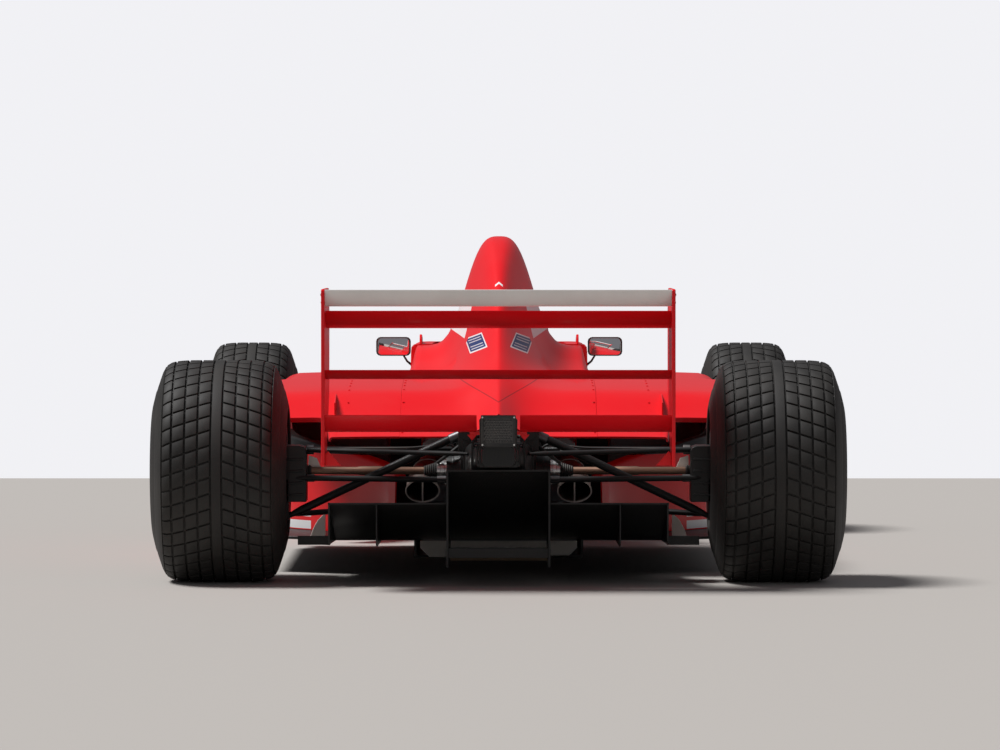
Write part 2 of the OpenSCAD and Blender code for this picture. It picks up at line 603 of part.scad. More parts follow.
// Side channels and middle tunnel that rise behind the flat floor
module diffuser() {
    front = floor_rear - joint_gap;
    side = rising(front, step_z + floor_t, diffuser_rear, diffuser_h);
    mid = rising(front, step_z + floor_t, diffuser_rear - 30, tunnel_h);
    under = function (line) concat(line, reversed([for (p = line) [p[0], p[1] - 5]]));
    wall = function (line, z0, z1) concat(line, [[line[8][0], z1], [line[0][0], z0]]);
    color("black") both() {
        side_plate(under(side), tunnel_w + 1, diffuser_w - tunnel_w - 1);
        side_plate(under(mid), 0, tunnel_w - 5);
        side_plate(wall(side, step_z, 138), diffuser_w - 5, 5);
        side_plate(wall(side, step_z, 128), 345, 4);
        side_plate(wall(mid, ride_height + 2, 84), tunnel_w - 5, 6);
        // Bar across the foot of the middle tunnel
        translate([0, diffuser_rear - 24, 84]) cube([tunnel_w - 5, 30, 28]);
    }
}

// ---------- engine, gearbox and rear ----------

engine_front = tub_rear - joint_gap;
engine_rear = engine_front - 560;

module engine() {
    foot = ride_height + floor_t + joint_gap;
    color("dimgray") translate([-230, engine_rear, foot]) cube([460, engine_front - engine_rear, 445 - foot]);
}

light_w = 98;
light_h = 87;
light_z = 408;
tail_rear = rear_y + 42;
starter_z = 379;
starter_r = 14;
starter_l = 60;

module gearbox() {
    tail_top = light_z - joint_gap;
    s = [[engine_rear - joint_gap, 150, floor_top + 10, 400], [rear_axle + 250, 122, 170, 404],
         [rear_axle - 40, 110, 262, 404], [rear_axle - 240, 62, 345, 404], [tail_rear + 1, 46, 350, tail_top]];
    color("dimgray") difference() {
        union() {
            for (i = [0 : len(s) - 2]) hull() {
                for (q = [s[i], s[i + 1]])
                    translate([-q[1], q[0] - 1, q[2]]) cube([2 * q[1], 1, q[3] - q[2]]);
            }
            // Output flanges for the driveshafts
            translate([-output_x, rear_axle, rear_axle_z]) rotate([0, 90, 0]) cylinder(h = 2 * output_x, r = 44);
            // Rocker blocks on top
            both() translate([62, rear_axle - 92, 380]) cube([54, 64, 74]);
        }
        translate([0, tail_rear - 5, starter_z]) rotate([-90, 0, 0]) cylinder(h = starter_l + 5, r = starter_r);
        both() translate([output_x - shaft_socket, rear_axle, rear_axle_z]) rotate([0, 90, 0])
            cylinder(h = 60, r = shaft_drum_r + running_gap);
        rear_legs(joint_gap);
        rear_rods(joint_gap);
    }
}

// Two tail pipes that end above the diffuser
module exhausts() {
    line = [[200, engine_rear - joint_gap, 322], [206, engine_rear - 50, 312], [215, engine_rear - 110, 296],
        [220, engine_rear - 180, 281], [221, rear_axle + 200, 272], [221, rear_axle + 66, 258]];
    ring = function (p, k, t) [for (a = [0 : 20 : 340])
        [p[0] + (36 + 12 * k - t) * cos(a), p[1], p[2] + (34 - 2 * k - t) * sin(a)]];
    outer = [for (i = [0 : 5]) ring(line[i], smooth(i / 3), 0)];
    inner = [for (i = [0 : 5]) ring(line[i], smooth(i / 3), 2)];
    color("silver") both() tube_shell(outer, inner);
}

module rear_light() {
    color("black") translate([-light_w / 2, rear_y + 8, light_z]) cube([light_w, 54, light_h]);
}

flap_te = [rear_y, rear_wing_h];
module rear_wing_flap() {
    color("white") translate([-wing_in + joint_gap, 0, 0]) side_plate(
        wing_outline([rear_y + 62, rear_wing_h - 46], flap_te, 11, 5), 0, 2 * (wing_in - joint_gap));
}

module rear_wing_main() {
    color("darkred") translate([-wing_in + joint_gap, 0, 0]) side_plate(
        wing_outline([rear_y + 300, rear_wing_h - 92], [rear_y + 66, rear_wing_h - 60], 24, 20), 0,
        2 * (wing_in - joint_gap));
}

// Middle element, and the two halves of the lower element beside the rear light
module rear_wing_lower() {
    inner = light_w / 2 + 12;
    color("darkred") {
        translate([-wing_in + joint_gap, 0, 0]) side_plate(
            wing_outline([rear_y + 190, rear_wing_h - 248], [rear_y + 40, rear_wing_h - 226], 13, 7), 0,
            2 * (wing_in - joint_gap));
        both() {
            translate([inner, 0, 0]) side_plate(
                wing_outline([rear_y + 150, rear_wing_h - 398], [rear_y + 12, rear_wing_h - 352], 17, 9), 0,
                wing_in - joint_gap - inner);
            // Gusset that carries the wing on the gearbox tail
            side_plate([[tail_rear + 20, light_z], [tail_rear + 130, light_z], [tail_rear + 100, 450],
                [tail_rear + 20, 440]], inner - 26, 8);
            translate([inner - 26, tail_rear + 58, 438]) cube([46, 24, 10]);
        }
    }
}

module rear_wing_endplates() {
    color("red") both() side_plate([[rear_y, 352], [rear_y, rear_wing_h + 2], [rear_y + 380, rear_wing_h + 2],
        [rear_y + 440, rear_wing_h - 70], [rear_y + 420, rear_wing_h - 290], [rear_y + 250, rear_wing_h - 420],
        [rear_y + 150, 352]], wing_in, endplate_t);
}

// ---------- suspension ----------

pin_r = 8;                       // kingpin pins that the uprights turn on
eye_h = 20;                      // height of the wishbones' outer eyes
upper_ball = [kingpin_x, front_axle, front_axle_z + ball_h];
lower_ball = [kingpin_x, front_axle, front_axle_z - ball_h];
upper_feet = [[140, front_axle + 190, 470], [150, front_axle - 250, 492]];
lower_feet = [[128, front_axle + 190, 262], [150, front_axle - 250, 240]];
push_foot = [kingpin_x - 62, front_axle, front_axle_z - ball_h];
push_top = [150, front_axle - 20, 470];
push_seat = 18;                  // top of the pushrod's block above the ball joint

// The legs of all the front wishbones and pushrods, as much thicker as extra says
module front_legs(extra = 0) {
    both() {
        for (f = upper_feet) leg(f, upper_ball, 9, extra);
        for (f = lower_feet) leg(f, lower_ball, 10, extra);
        leg(push_top, push_foot + [0, -6, push_seat + 16], 9, extra);
    }
}

// Round leg from its foot in the body to just short of its outer end. A hole for it is a little
// longer at both ends.
module leg(foot, end, r, extra = 0) {
    d = (end - foot) / norm(end - foot);
    bar(foot - d * extra, end - d * (10 - extra), r + extra);
}

// One front wishbone with an eye for the kingpin pin
module front_wishbone(feet, ball, r) {
    difference() {
        union() {
            for (f = feet) leg(f, ball, r);
            translate(ball - [0, 0, eye_h / 2]) cylinder(h = eye_h, r = pin_r + 9);
        }
        translate(ball - [0, 0, eye_h]) cylinder(h = 2 * eye_h, r = pin_r + running_gap);
    }
}

module front_wishbones() {
    color("dimgray") both() {
        front_wishbone(upper_feet, upper_ball, 9);
        front_wishbone(lower_feet, lower_ball, 10);
        // Block between the lower legs that the pushrod stands on
        translate(push_foot - [26, 20, 8]) cube([52, 40, push_seat + 8]);
    }
}

module front_pushrods() {
    color("dimgray") both() {
        leg(push_top, push_foot + [0, -6, push_seat + 16], 9);
        translate(push_foot + [0, -6, push_seat + joint_gap]) cylinder(h = 22, r = 12);
    }
}

// Rack bar with a track rod at each end
module steering_rack() {
    eye = 13;
    color("dimgray") difference() {
        union() {
            rack_line(rod_r, 2 * kingpin_x);
            for (s = [-1, 1]) translate([s * kingpin_x, rod_y, rod_z - 7]) cylinder(h = 14, r = eye);
        }
        for (s = [-1, 1]) translate([s * kingpin_x, rod_y, rod_z - 9]) cylinder(h = 18, r = 8.5);
    }
}

disc_gap = 5;
front_disc_x = kingpin_x + 60;
// Right hand front upright with its bearing, steering arm and brake caliper
module front_upright_right() {
    z = front_axle_z;
    x = kingpin_x;
    half = ball_h - eye_h / 2 - 2.5;
    color("gray") {
        difference() {
            union() {
                translate([x - 22, front_axle, z]) rotate([0, 90, 0]) cylinder(h = 62, r = spindle_r + 20);
                translate([x - 13, front_axle - 24, z - half]) cube([30, 48, 2 * half]);
                // Steering arm with the pin for the rod's eye
                translate([x - 13, front_axle, rod_z - 26]) cube([26, steering_arm + 10, 12]);
                translate([x, rod_y, rod_z - 26]) cylinder(h = 40, r = 4.5);
                translate([x, front_axle, z + half - 10]) cylinder(h = ball_h + 14 - half + 10, r = pin_r);
                translate([x, front_axle, z - ball_h - 14]) cylinder(h = ball_h + 14 - half + 10, r = pin_r);
                // Web to the caliper
                translate([x - 13, front_axle - 84, z - 14]) cube([front_disc_x - disc_gap - 10 - x + 13, 50, 28]);
            }
            translate([x - 60, front_axle, z]) rotate([0, 90, 0]) cylinder(h = 160, r = spindle_r + running_gap);
        }
        caliper(front_disc_x, front_axle, z, -1);
    }
}

// Caliper that straddles the brake disc whose inner face is at x, behind the axle or ahead of it
module caliper(x, y, z, s) {
    jaw = 24;
    w = disc_t + 2 * disc_gap;
    x0 = x - disc_gap - jaw;
    difference() {
        translate([x0, y, z]) rotate([0, 90, 0]) intersection() {
            cylinder(h = w + 2 * jaw, r = disc_r + 20);
            translate([-60, s > 0 ? 66 : -200, 0]) cube([120, 134, w + 2 * jaw]);
        }
        translate([x - disc_gap, y, z]) rotate([0, 90, 0]) cylinder(h = w, r = disc_r + 6);
    }
}

module front_upright_left() {
    mirror([1, 0, 0]) front_upright_right();
}

rear_ball_x = rear_wheel_x - 172;
duct_w = 70;                     // width of the brake duct on the rear upright
upper_rear = [[88, rear_axle + 170, 376], [88, rear_axle - 140, 374]];
lower_rear = [[112, rear_axle + 349, 208], [104, rear_axle + 139, 222]];
upper_rear_end = [rear_ball_x - 20, rear_axle, rear_axle_z + 74 - 12];
lower_rear_end = [rear_ball_x - 12, rear_axle, rear_axle_z - ball_h - 22];

module rear_legs(extra = 0) {
    both() {
        for (f = upper_rear) leg(f, upper_rear_end, 10, extra);
        for (f = lower_rear) leg(f, lower_rear_end, 11, extra);
    }
}

module rear_rods(extra = 0) {
    both() {
        leg([92, rear_axle - 60, 436], [rear_ball_x - 22, rear_axle - 46, 190], 12, extra);
        leg([74, rear_axle - 96, 297], [rear_ball_x - 20, rear_axle - 52, 302], 8, extra);
    }
}

module rear_wishbones() {
    color("dimgray") rear_legs();
}

// Pushrods and toe links
module rear_links() {
    color("dimgray") rear_rods();
}

rear_disc_x = rear_ball_x + 62;
// Uprights with their brake ducts and calipers
module rear_uprights() {
    x = rear_ball_x;
    color("black") difference() {
        both() {
            translate([x - 76, rear_axle - 62, rear_axle_z - 88]) cube([duct_w, 124, 162]);
            translate([x - 26, rear_axle - 62, rear_axle_z - ball_h - 36]) cube([36, 80, 120]);
            translate([x - 10, rear_axle, rear_axle_z]) rotate([0, 90, 0]) cylinder(h = 62, r = spindle_r + 22);
            // Web to the caliper
            translate([x - 10, rear_axle + 34, rear_axle_z - 14]) cube([rear_disc_x - disc_gap - 10 - x + 10, 50, 28]);
            caliper(rear_disc_x, rear_axle, rear_axle_z, 1);
        }
        translate([-rear_wheel_x, rear_axle, rear_axle_z]) rotate([0, 90, 0])
            cylinder(h = 2 * rear_wheel_x, r = spindle_r + running_gap);
        both() translate([x - 100, rear_axle, rear_axle_z]) rotate([0, 90, 0]) cylinder(h = 94, r = 46);
        rear_legs(joint_gap);
        rear_rods(joint_gap);
    }
}

output_x = 150;
shaft_socket = 22;
shaft_drum_r = 32;
rear_spindle_in = rear_ball_x - 8;

// Right hand driveshaft between the gearbox flange and the hub spindle
module driveshaft_right() {
    a = output_x - shaft_socket + 2;
    b = rear_spindle_in - joint_gap;
    color("peru") translate([0, rear_axle, rear_axle_z]) rotate([0, 90, 0]) {
        translate([0, 0, a]) cylinder(h = b - a, r = 11);
        translate([0, 0, a]) cylinder(h = 50, r = shaft_drum_r);
        translate([0, 0, b - 46]) cylinder(h = 46, r = 27);
    }
}

module driveshaft_left() {
    mirror([1, 0, 0]) driveshaft_right();
}

// ---------- wheels ----------

function arc(cx, cy, r, a0, a1, n) = [for (i = [0 : n]) let (a = a0 + (a1 - a0) * i / n) [cx + r * cos(a), cy + r * sin(a)]];

flange_r = bead_r + 14;          // outer radius of the rim's flanges
flange_in = 18;                  // how far inside the tyre's widest section the flanges start

// Half outline of a tyre as [radius, width]
function tyre_half(r, w) =
    let (h = w / 2, seat = bead_r + joint_gap, b = h - flange_in - joint_gap, wide = flange_r + 20, wall = r - wide)
    [[seat, 0], [seat, b], [flange_r + joint_gap, b], [flange_r + 4, h - 11], [flange_r + 12, h - 2], [wide, h],
     [wide + wall * 0.25, h - 8], [wide + wall * 0.49, h - 18], [wide + wall * 0.73, h - 29],
     [wide + wall * 0.885, h - 42], [r - 5, h - 60], [r - 1.5, h * 0.54], [r, h * 0.3], [r, 0]];

// Tyre turning about the X axis, centred on the origin
module tyre(d, w) {
    half = tyre_half(d / 2, w);
    outline = concat(half, [for (i = [len(half) - 2 : -1 : 1]) [half[i][0], -half[i][1]]]);
    color("black") rotate([0, 90, 0]) rotate_extrude($fn = 96) polygon(outline);
}

// Rim with spokes, hub spindle, brake disc and wheel nut. +X is outboard.
module rim(w, inboard, disc) {
    b = w / 2 - flange_in;
    inner = bead_r - rim_wall;
    barrel = [[inner, -b - 8], [flange_r, -b - 8], [flange_r, -b], [bead_r, -b], [bead_r, b],
        [flange_r, b], [flange_r, b + 8], [inner, b + 8]];
    dish = b - 52;
    color("silver") rotate([0, 90, 0]) rotate_extrude($fn = 96) polygon(barrel);
    color("gray") {
        translate([dish, 0, 0]) rotate([0, 90, 0]) cylinder(h = 24, r = 58);
        for (i = [0 : spoke_count - 1]) rotate([360 / spoke_count * i, 0, 0])
            translate([dish + 2, -9, 50]) cube([20, 18, inner - 46]);
        translate([dish + 20, 0, 0]) rotate([0, 90, 0]) cylinder(h = 34, r = 34, $fn = 6);
        // Spindle and brake disc
        translate([inboard, 0, 0]) rotate([0, 90, 0]) cylinder(h = dish - inboard + 4, r = spindle_r);
        translate([disc, 0, 0]) rotate([0, 90, 0]) cylinder(h = disc_t, r = disc_r);
    }
}

front_hub = kingpin_x - front_wheel_x - 30;
rear_hub = rear_spindle_in - rear_wheel_x;

module tyre_front_right() { translate([front_wheel_x, front_axle, front_axle_z]) tyre(front_tyre_d, front_tyre_w); }
module tyre_front_left() { mirror([1, 0, 0]) tyre_front_right(); }
module tyre_rear_right() { translate([rear_wheel_x, rear_axle, rear_axle_z]) tyre(rear_tyre_d, rear_tyre_w); }
module tyre_rear_left() { mirror([1, 0, 0]) tyre_rear_right(); }
module rim_front_right() { translate([front_wheel_x, front_axle, front_axle_z]) rim(front_tyre_w, front_hub, front_disc_x - front_wheel_x); }
module rim_front_left() { mirror([1, 0, 0]) rim_front_right(); }
module rim_rear_right() { translate([rear_wheel_x, rear_axle, rear_axle_z]) rim(rear_tyre_w, rear_hub, rear_disc_x - rear_wheel_x); }
module rim_rear_left() { mirror([1, 0, 0]) rim_rear_right(); }

monocoque();
dashboard();
nose_cone();
windscreen();
cockpit_collar();
seat();
steering_wheel();
side_fins();
mirrors();
intake_duct();
engine_cover();
sidepods();
coke_panels();
radiators();
bargeboards();
floor();
plank();
diffuser();
engine();
gearbox();
exhausts();
rear_light();
front_wing_main();
front_wing_flaps();
front_wing_endplates();
rear_wing_flap();
rear_wing_main();
rear_wing_lower();
rear_wing_endplates();
front_wishbones();
front_pushrods();
steering_rack();
front_upright_left();
front_upright_right();
rear_wishbones();
rear_links();
rear_uprights();
driveshaft_left();
driveshaft_right();
tyre_front_left();
tyre_front_right();
tyre_rear_left();
tyre_rear_right();
rim_front_left();
rim_front_right();
rim_rear_left();
rim_rear_right();
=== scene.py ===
"""Looks of an open wheel racing car on wet weather tyres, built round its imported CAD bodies.

Sizes are in millimetres in the classes below and become metres when a Shape makes its mesh.
The car faces +Y, its right side is +X, and +Z is up.
"""

from __future__ import annotations

import json
import logging
from dataclasses import dataclass, field
from enum import Enum
from math import atan2, cos, exp, pi, radians, sin, sqrt, tan
from typing import Iterable, Sequence

import bmesh
import bpy
from mathutils import Matrix, Vector

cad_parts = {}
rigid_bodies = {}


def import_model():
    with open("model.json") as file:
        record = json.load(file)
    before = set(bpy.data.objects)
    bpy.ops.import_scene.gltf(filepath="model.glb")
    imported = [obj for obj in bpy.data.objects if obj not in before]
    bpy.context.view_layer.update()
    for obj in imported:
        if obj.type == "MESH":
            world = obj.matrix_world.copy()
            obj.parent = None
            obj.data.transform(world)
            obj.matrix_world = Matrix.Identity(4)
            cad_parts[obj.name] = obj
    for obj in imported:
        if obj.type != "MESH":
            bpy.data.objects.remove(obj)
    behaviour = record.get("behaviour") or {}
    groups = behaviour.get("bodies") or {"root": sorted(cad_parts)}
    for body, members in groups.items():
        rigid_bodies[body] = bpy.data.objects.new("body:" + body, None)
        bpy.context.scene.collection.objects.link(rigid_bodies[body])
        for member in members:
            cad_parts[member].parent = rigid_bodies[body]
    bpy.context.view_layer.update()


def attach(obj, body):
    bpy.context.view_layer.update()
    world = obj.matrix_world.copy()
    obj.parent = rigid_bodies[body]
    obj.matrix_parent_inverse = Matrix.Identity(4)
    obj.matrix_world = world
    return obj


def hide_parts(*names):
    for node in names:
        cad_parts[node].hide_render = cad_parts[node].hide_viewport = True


LOG = logging.getLogger("racing_car")
MM = 0.001
SHARP = 38.0  # degrees between faces, past which an edge is drawn sharp
MERGE = 1e-5  # metres, under which points are one
CLOTH_FRAMES = 20
CLOTH_INSET = 0.0015  # metres taken off a pad before it swells
Point = Sequence[float]
Socket = bpy.types.NodeSocket
Thing = bpy.types.Object
Relief = tuple[Socket, float, float]
Flat = list[tuple[float, float]]
Points = list[tuple[float, float, float]]
Colour = tuple[float, float, float]
Table = Sequence[tuple[float, float]]


class Body(Enum):
    """CAD bodies that pieces ride on."""

    CHASSIS = "chassis"
    UPRIGHT_LEFT = "front_upright_left"
    UPRIGHT_RIGHT = "front_upright_right"
    RACK = "steering_rack"
    STEERING_WHEEL = "steering_wheel"
    FRONT_LEFT = "wheel_front_left"
    FRONT_RIGHT = "wheel_front_right"
    REAR_LEFT = "wheel_rear_left"
    REAR_RIGHT = "wheel_rear_right"


class Lines(Enum):
    """Painted or taped marks on a gloss panel."""

    NONE = "none"
    COVER = "cover"
    POD = "pod"
    NOSE = "nose"
    FLANK = "flank"


# ---------------- curves


def smooth(t: float) -> float:
    """Smooth step from 0 to 1."""
    u = min(1.0, max(0.0, t))
    return u * u * (3 - 2 * u)


def curve(table: Table, y: float) -> float:
    """Smooth curve through a table of (position, value), with no overshoot.

    Args:
        table: positions in rising order, each with its value.
        y: the position asked for.

    Returns:
        The value there, held constant past both ends.
    """
    secants = [(b[1] - a[1]) / (b[0] - a[0]) for a, b in zip(table, table[1:])]
    last = len(table) - 1

    def slope(i: int) -> float:
        """Slope at one row of the table."""
        if i in (0, last):
            return secants[0] if i == 0 else secants[-1]
        a, b = secants[i - 1], secants[i]
        return 0.0 if a * b <= 0 else 2 * a * b / (a + b)

    i = 0
    while i < last - 1 and y > table[i + 1][0]:
        i += 1
    h = table[i + 1][0] - table[i][0]
    u = min(1.0, max(0.0, (y - table[i][0]) / h))
    return (
        (2 * u**3 - 3 * u**2 + 1) * table[i][1]
        + (u**3 - 2 * u**2 + u) * h * slope(i)
        + (3 * u**2 - 2 * u**3) * table[i + 1][1]
        + (u**3 - u**2) * h * slope(i + 1)
    )


def span(a: float, b: float, n: int) -> list[float]:
    """n + 1 evenly spaced values from a to b."""
    return [a + (b - a) * i / n for i in range(n + 1)]


def circle(n: int, more: int = 0) -> list[float]:
    """Angles of n even steps round a circle, and of some more steps past it."""
    return [2 * pi * k / n for k in range(n + more)]


def rounded(lo: Point, hi: Point, r: float, first: int = 0) -> Flat:
    """Rectangle with rounded corners.

    Args:
        lo: its lowest corner.
        hi: its highest corner.
        r: radius of the corners.
        first: quarter turns from the upper right corner to the one that comes first.

    Returns:
        Four points for each corner.
    """
    (x0, z0), (x1, z1) = (lo[0] + r, lo[1] + r), (hi[0] - r, hi[1] - r)
    spots = ((x1, z1, 0), (x0, z1, 90), (x0, z0, 180), (x1, z0, 270))
    return [
        (x + r * cos(radians(a + k)), z + r * sin(radians(a + k)))
        for x, z, a in spots[first:] + spots[:first]
        for k in (0, 30, 60, 90)
    ]


def refine(values: Sequence[float], n: int) -> list[float]:
    """The values with n - 1 more between each pair."""
    out = [a + (b - a) * i / n for a, b in zip(values, values[1:]) for i in range(n)]
    return out + [values[-1]]


def spline(points: Sequence[Point], n: int, closed: bool = False) -> list[Vector]:
    """Catmull-Rom curve through points.

    Args:
        points: the points to pass through.
        n: pieces per stretch between two points.
        closed: whether the last point joins the first.

    Returns:
        The curve's points, starting at the first one.
    """
    p = [Vector(q) for q in points]
    count = len(p)
    out = []
    for i in range(count if closed else count - 1):
        if closed:
            a, b, c, d = (p[(i + k) % count] for k in (-1, 0, 1, 2))
        else:
            a, b, c, d = p[max(i - 1, 0)], p[i], p[i + 1], p[min(i + 2, count - 1)]
        for k in range(n):
            t = k / n
            bend, twist = 2 * a - 5 * b + 4 * c - d, 3 * b - a - 3 * c + d
            out.append(0.5 * (2 * b + (c - a) * t + bend * t * t + twist * t**3))
    return out if closed else out + [p[-1]]


def wing_outline(a: Point, b: Point, t: float, camber: float, n: int = 22) -> Flat:
    """Closed section of a wing in the YZ plane.

    Args:
        a: leading edge (y, z).
        b: trailing edge (y, z).
        t: half thickness scale.
        camber: how far the section hangs below its chord.
        n: points along each side.

    Returns:
        Outline points as (y, z).
    """
    lead, trail = Vector(a), Vector(b)
    along = trail - lead
    length = along.length
    u = along / length
    v = Vector((-u.y, u.x))
    s = 1 if v.y > 0 else -1

    def at(k: float, side: int) -> tuple[float, float]:
        """Point on the upper (1) or lower (-1) side at chord fraction k."""
        line = -camber * 4 * k * (1 - k)
        half = t * (1.4845 * sqrt(k) - 0.63 * k - 1.758 * k * k + 1.4215 * k**3 - 0.518 * k**4) + 0.8 * k
        q = lead + u * length * k + v * s * (line + side * half)
        return q.x, q.y

    stations = [(i / n) ** 1.6 for i in range(n + 1)]
    return [at(k, 1) for k in stations] + [at(k, -1) for k in reversed(stations[1:])]


# ---------------- shapes


def settle(obj: Thing, slot: str, *nodes: str, body: Body = Body.CHASSIS) -> None:
    """Fixes a piece to its body.

    Args:
        obj: the piece.
        slot: the record's material slot; not used.
        nodes: CAD nodes that it stands for.
        body: the CAD body that it rides on.
    """
    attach(obj, body.value)
    if nodes:
        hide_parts(*nodes)
    LOG.info("%s rides on %s", obj.name, body.value)


def added(name: str, data: bpy.types.ID) -> Thing:
    """A new object in the scene."""
    obj = bpy.data.objects.new(name, data)
    bpy.context.scene.collection.objects.link(obj)
    return obj


def evaluated(obj: Thing) -> bpy.types.Mesh:
    """Plain mesh of an object with its modifiers applied."""
    graph = bpy.context.evaluated_depsgraph_get()
    return bpy.data.meshes.new_from_object(obj.evaluated_get(graph), depsgraph=graph)


def shade(mesh: bpy.types.Mesh, angle: float) -> None:
    """Smooth shading, with edges sharper than an angle in degrees kept sharp."""
    mesh.shade_smooth()
    mesh.set_sharp_from_angle(angle=radians(angle))


class Shape:
    """Collects points and faces in millimetres and makes one clean mesh object of them."""

    def __init__(self) -> None:
        """Starts empty."""
        self.points: list[Vector] = []
        self.faces: list[list[int]] = []

    def add(self, points: Iterable[Point], faces: Iterable[Sequence[int]]) -> "Shape":
        """Adds points, and faces that index them."""
        base = len(self.points)
        self.points += [Vector(p) for p in points]
        self.faces += [[base + i for i in f] for f in faces]
        return self

    def grid(self, rows: Sequence[Sequence[Point]], wrap: bool = False, caps: bool = False) -> "Shape":
        """Adds a surface over rows of points.

        Args:
            rows: rows with the same number of points.
            wrap: whether each row closes on itself.
            caps: whether the first and last rows are filled.

        Returns:
            This shape.
        """
        n, m = len(rows[0]), len(rows)
        faces = [
            [j * n + i, j * n + (i + 1) % n, (j + 1) * n + (i + 1) % n, (j + 1) * n + i]
            for j in range(m - 1)
            for i in range(n if wrap else n - 1)
        ]
        if caps:
            faces += [list(range(n))[::-1], [(m - 1) * n + i for i in range(n)]]
        return self.add([p for r in rows for p in r], faces)

    def panel(self, outer: Sequence[Sequence[Point]], inner: Sequence[Sequence[Point]]) -> "Shape":
        """Adds a panel between two grids, closed along its edges."""
        rows = [list(a) + list(b)[::-1] for a, b in zip(outer, inner)]
        n, r, last = len(outer[0]), 2 * len(outer[0]), (len(outer) - 1) * 2 * len(outer[0])
        self.grid(rows, wrap=True)
        base = len(self.points) - len(rows) * r
        for k in range(n - 1):
            self.faces.append([base + k, base + k + 1, base + r - 2 - k, base + r - 1 - k])
            self.faces.append([base + last + q for q in (k + 1, k, r - 1 - k, r - 2 - k)])
        return self

    def box(self, lo: Point, hi: Point) -> "Shape":
        """Adds a box between two corners."""
        (x0, y0, z0), (x1, y1, z1) = lo, hi
        low = [(x0, y0), (x1, y0), (x1, y1), (x0, y1)]
        return self.grid([[(x, y, z) for x, y in low] for z in (z0, z1)], wrap=True, caps=True)

    def plate(self, outline: Sequence[Point], x0: float, x1: float) -> "Shape":
        """Adds a flat plate from an outline in the YZ plane, between two x values."""
        return self.grid([[(x, p[0], p[1]) for p in outline] for x in (x0, x1)], wrap=True, caps=True)

    def prism(self, outline: Sequence[Point], a: float, b: float, axis: str = "z") -> "Shape":
        """Adds an extruded outline along z (x, y points) or along y (x, z points)."""
        put = (lambda p, h: (p[0], p[1], h)) if axis == "z" else (lambda p, h: (p[0], h, p[1]))
        return self.grid([[put(p, h) for p in outline] for h in (a, b)], wrap=True, caps=True)

    def tube(
        self, path: Sequence[Point], radius: float | Sequence[float], sides: int = 16, flat: float = 1.0,
        caps: bool = True
    ) -> "Shape":
        """Adds a bar swept along a path.

        Args:
            path: centre points.
            radius: one radius, or one for each point.
            sides: sides of the section.
            flat: height of the section over its width, for a streamlined arm.
            caps: whether the ends are closed.

        Returns:
            This shape.
        """
        pts = [Vector(p) for p in path]
        radii = [radius] * len(pts) if isinstance(radius, (int, float)) else list(radius)
        rows = []
        for i, p in enumerate(pts):
            d = (pts[min(i + 1, len(pts) - 1)] - pts[max(i - 1, 0)]).normalized()
            ref = Vector((0, 1, 0)) if abs(d.y) < 0.9 else Vector((0, 0, 1))
            side = (ref - d * ref.dot(d)).normalized()
            up = d.cross(side)
            rows.append(
                [
                    p + (side * cos(a) + up * sin(a) * flat) * radii[i]
                    for a in circle(sides)
                ]
            )
        return self.grid(rows, wrap=True, caps=caps)

    def lathe(self, profile: Sequence[Point], centre: Point, sides: int = 64, closed: bool = True) -> "Shape":
        """Adds a body turned about the X direction.

        Args:
            profile: (radius, x) points.
            centre: centre of the turning axis.
            sides: steps round the axis.
            closed: whether the profile is a closed outline.

        Returns:
            This shape.
        """
        cx, cy, cz = centre
        rows = [
            [(cx + x, cy + r * cos(a), cz + r * sin(a)) for r, x in profile]
            for a in circle(sides, 1)
        ]
        return self.grid(rows, wrap=closed)

    def both(self) -> "Shape":
        """Adds the mirror image on the other side of the car."""
        n = len(self.points)
        self.points += [Vector((-p.x, p.y, p.z)) for p in self.points]
        self.faces += [[n + i for i in reversed(f)] for f in self.faces]
        return self

    def mirrored(self) -> "Shape":
        """Turns the shape into its mirror image."""
        self.points = [Vector((-p.x, p.y, p.z)) for p in self.points]
        self.faces = [list(reversed(f)) for f in self.faces]
        return self

    def mesh(self, name: str, fix: bool = True) -> bpy.types.Mesh:
        """Makes the mesh in metres.

        Args:
            name: the mesh's name.
            fix: whether normals are worked out again.

        Returns:
            The mesh, merged and with its faces outward.
        """
        bm = bmesh.new()
        verts = [bm.verts.new(p * MM) for p in self.points]
        for f in self.faces:
            if len(set(f)) > 2:
                try:
                    bm.faces.new([verts[i] for i in f])
                except ValueError:
                    continue
        bmesh.ops.remove_doubles(bm, verts=bm.verts, dist=MERGE)
        bmesh.ops.dissolve_degenerate(bm, edges=bm.edges, dist=1e-6)
        if fix:
            bmesh.ops.recalc_face_normals(bm, faces=bm.faces)
        mesh = bpy.data.meshes.new(name)
        bm.to_mesh(mesh)
        bm.free()
        return mesh

    def piece(
        self, name: str, finish: "Finish", bevel: float = 0.0, segments: int = 2, angle: float = SHARP,
        thick: float = 0.0
    ) -> Thing:
        """Makes the object with its finish.

        Args:
            name: the piece's name.
            finish: its finish.
            bevel: width of the rounded edges, in millimetres.
            segments: steps in each rounded edge.
            angle: edges sharper than this stay sharp or are rounded.
            thick: thickness given to an open surface, inward.

        Returns:
            The object, at the origin.
        """
        mesh = self.mesh(name)
        shade(mesh, angle)
        obj = added(name, mesh)
        if thick:
            wall = obj.modifiers.new("wall", "SOLIDIFY")
            wall.thickness, wall.offset, wall.use_even_offset = thick * MM, -1, True
        if bevel:
            edge = obj.modifiers.new("edge", "BEVEL")
            edge.width, edge.segments = bevel * MM, segments
            edge.limit_method, edge.angle_limit = "ANGLE", radians(angle)
            edge.harden_normals = True
        mesh.materials.append(finish.material())
        return obj

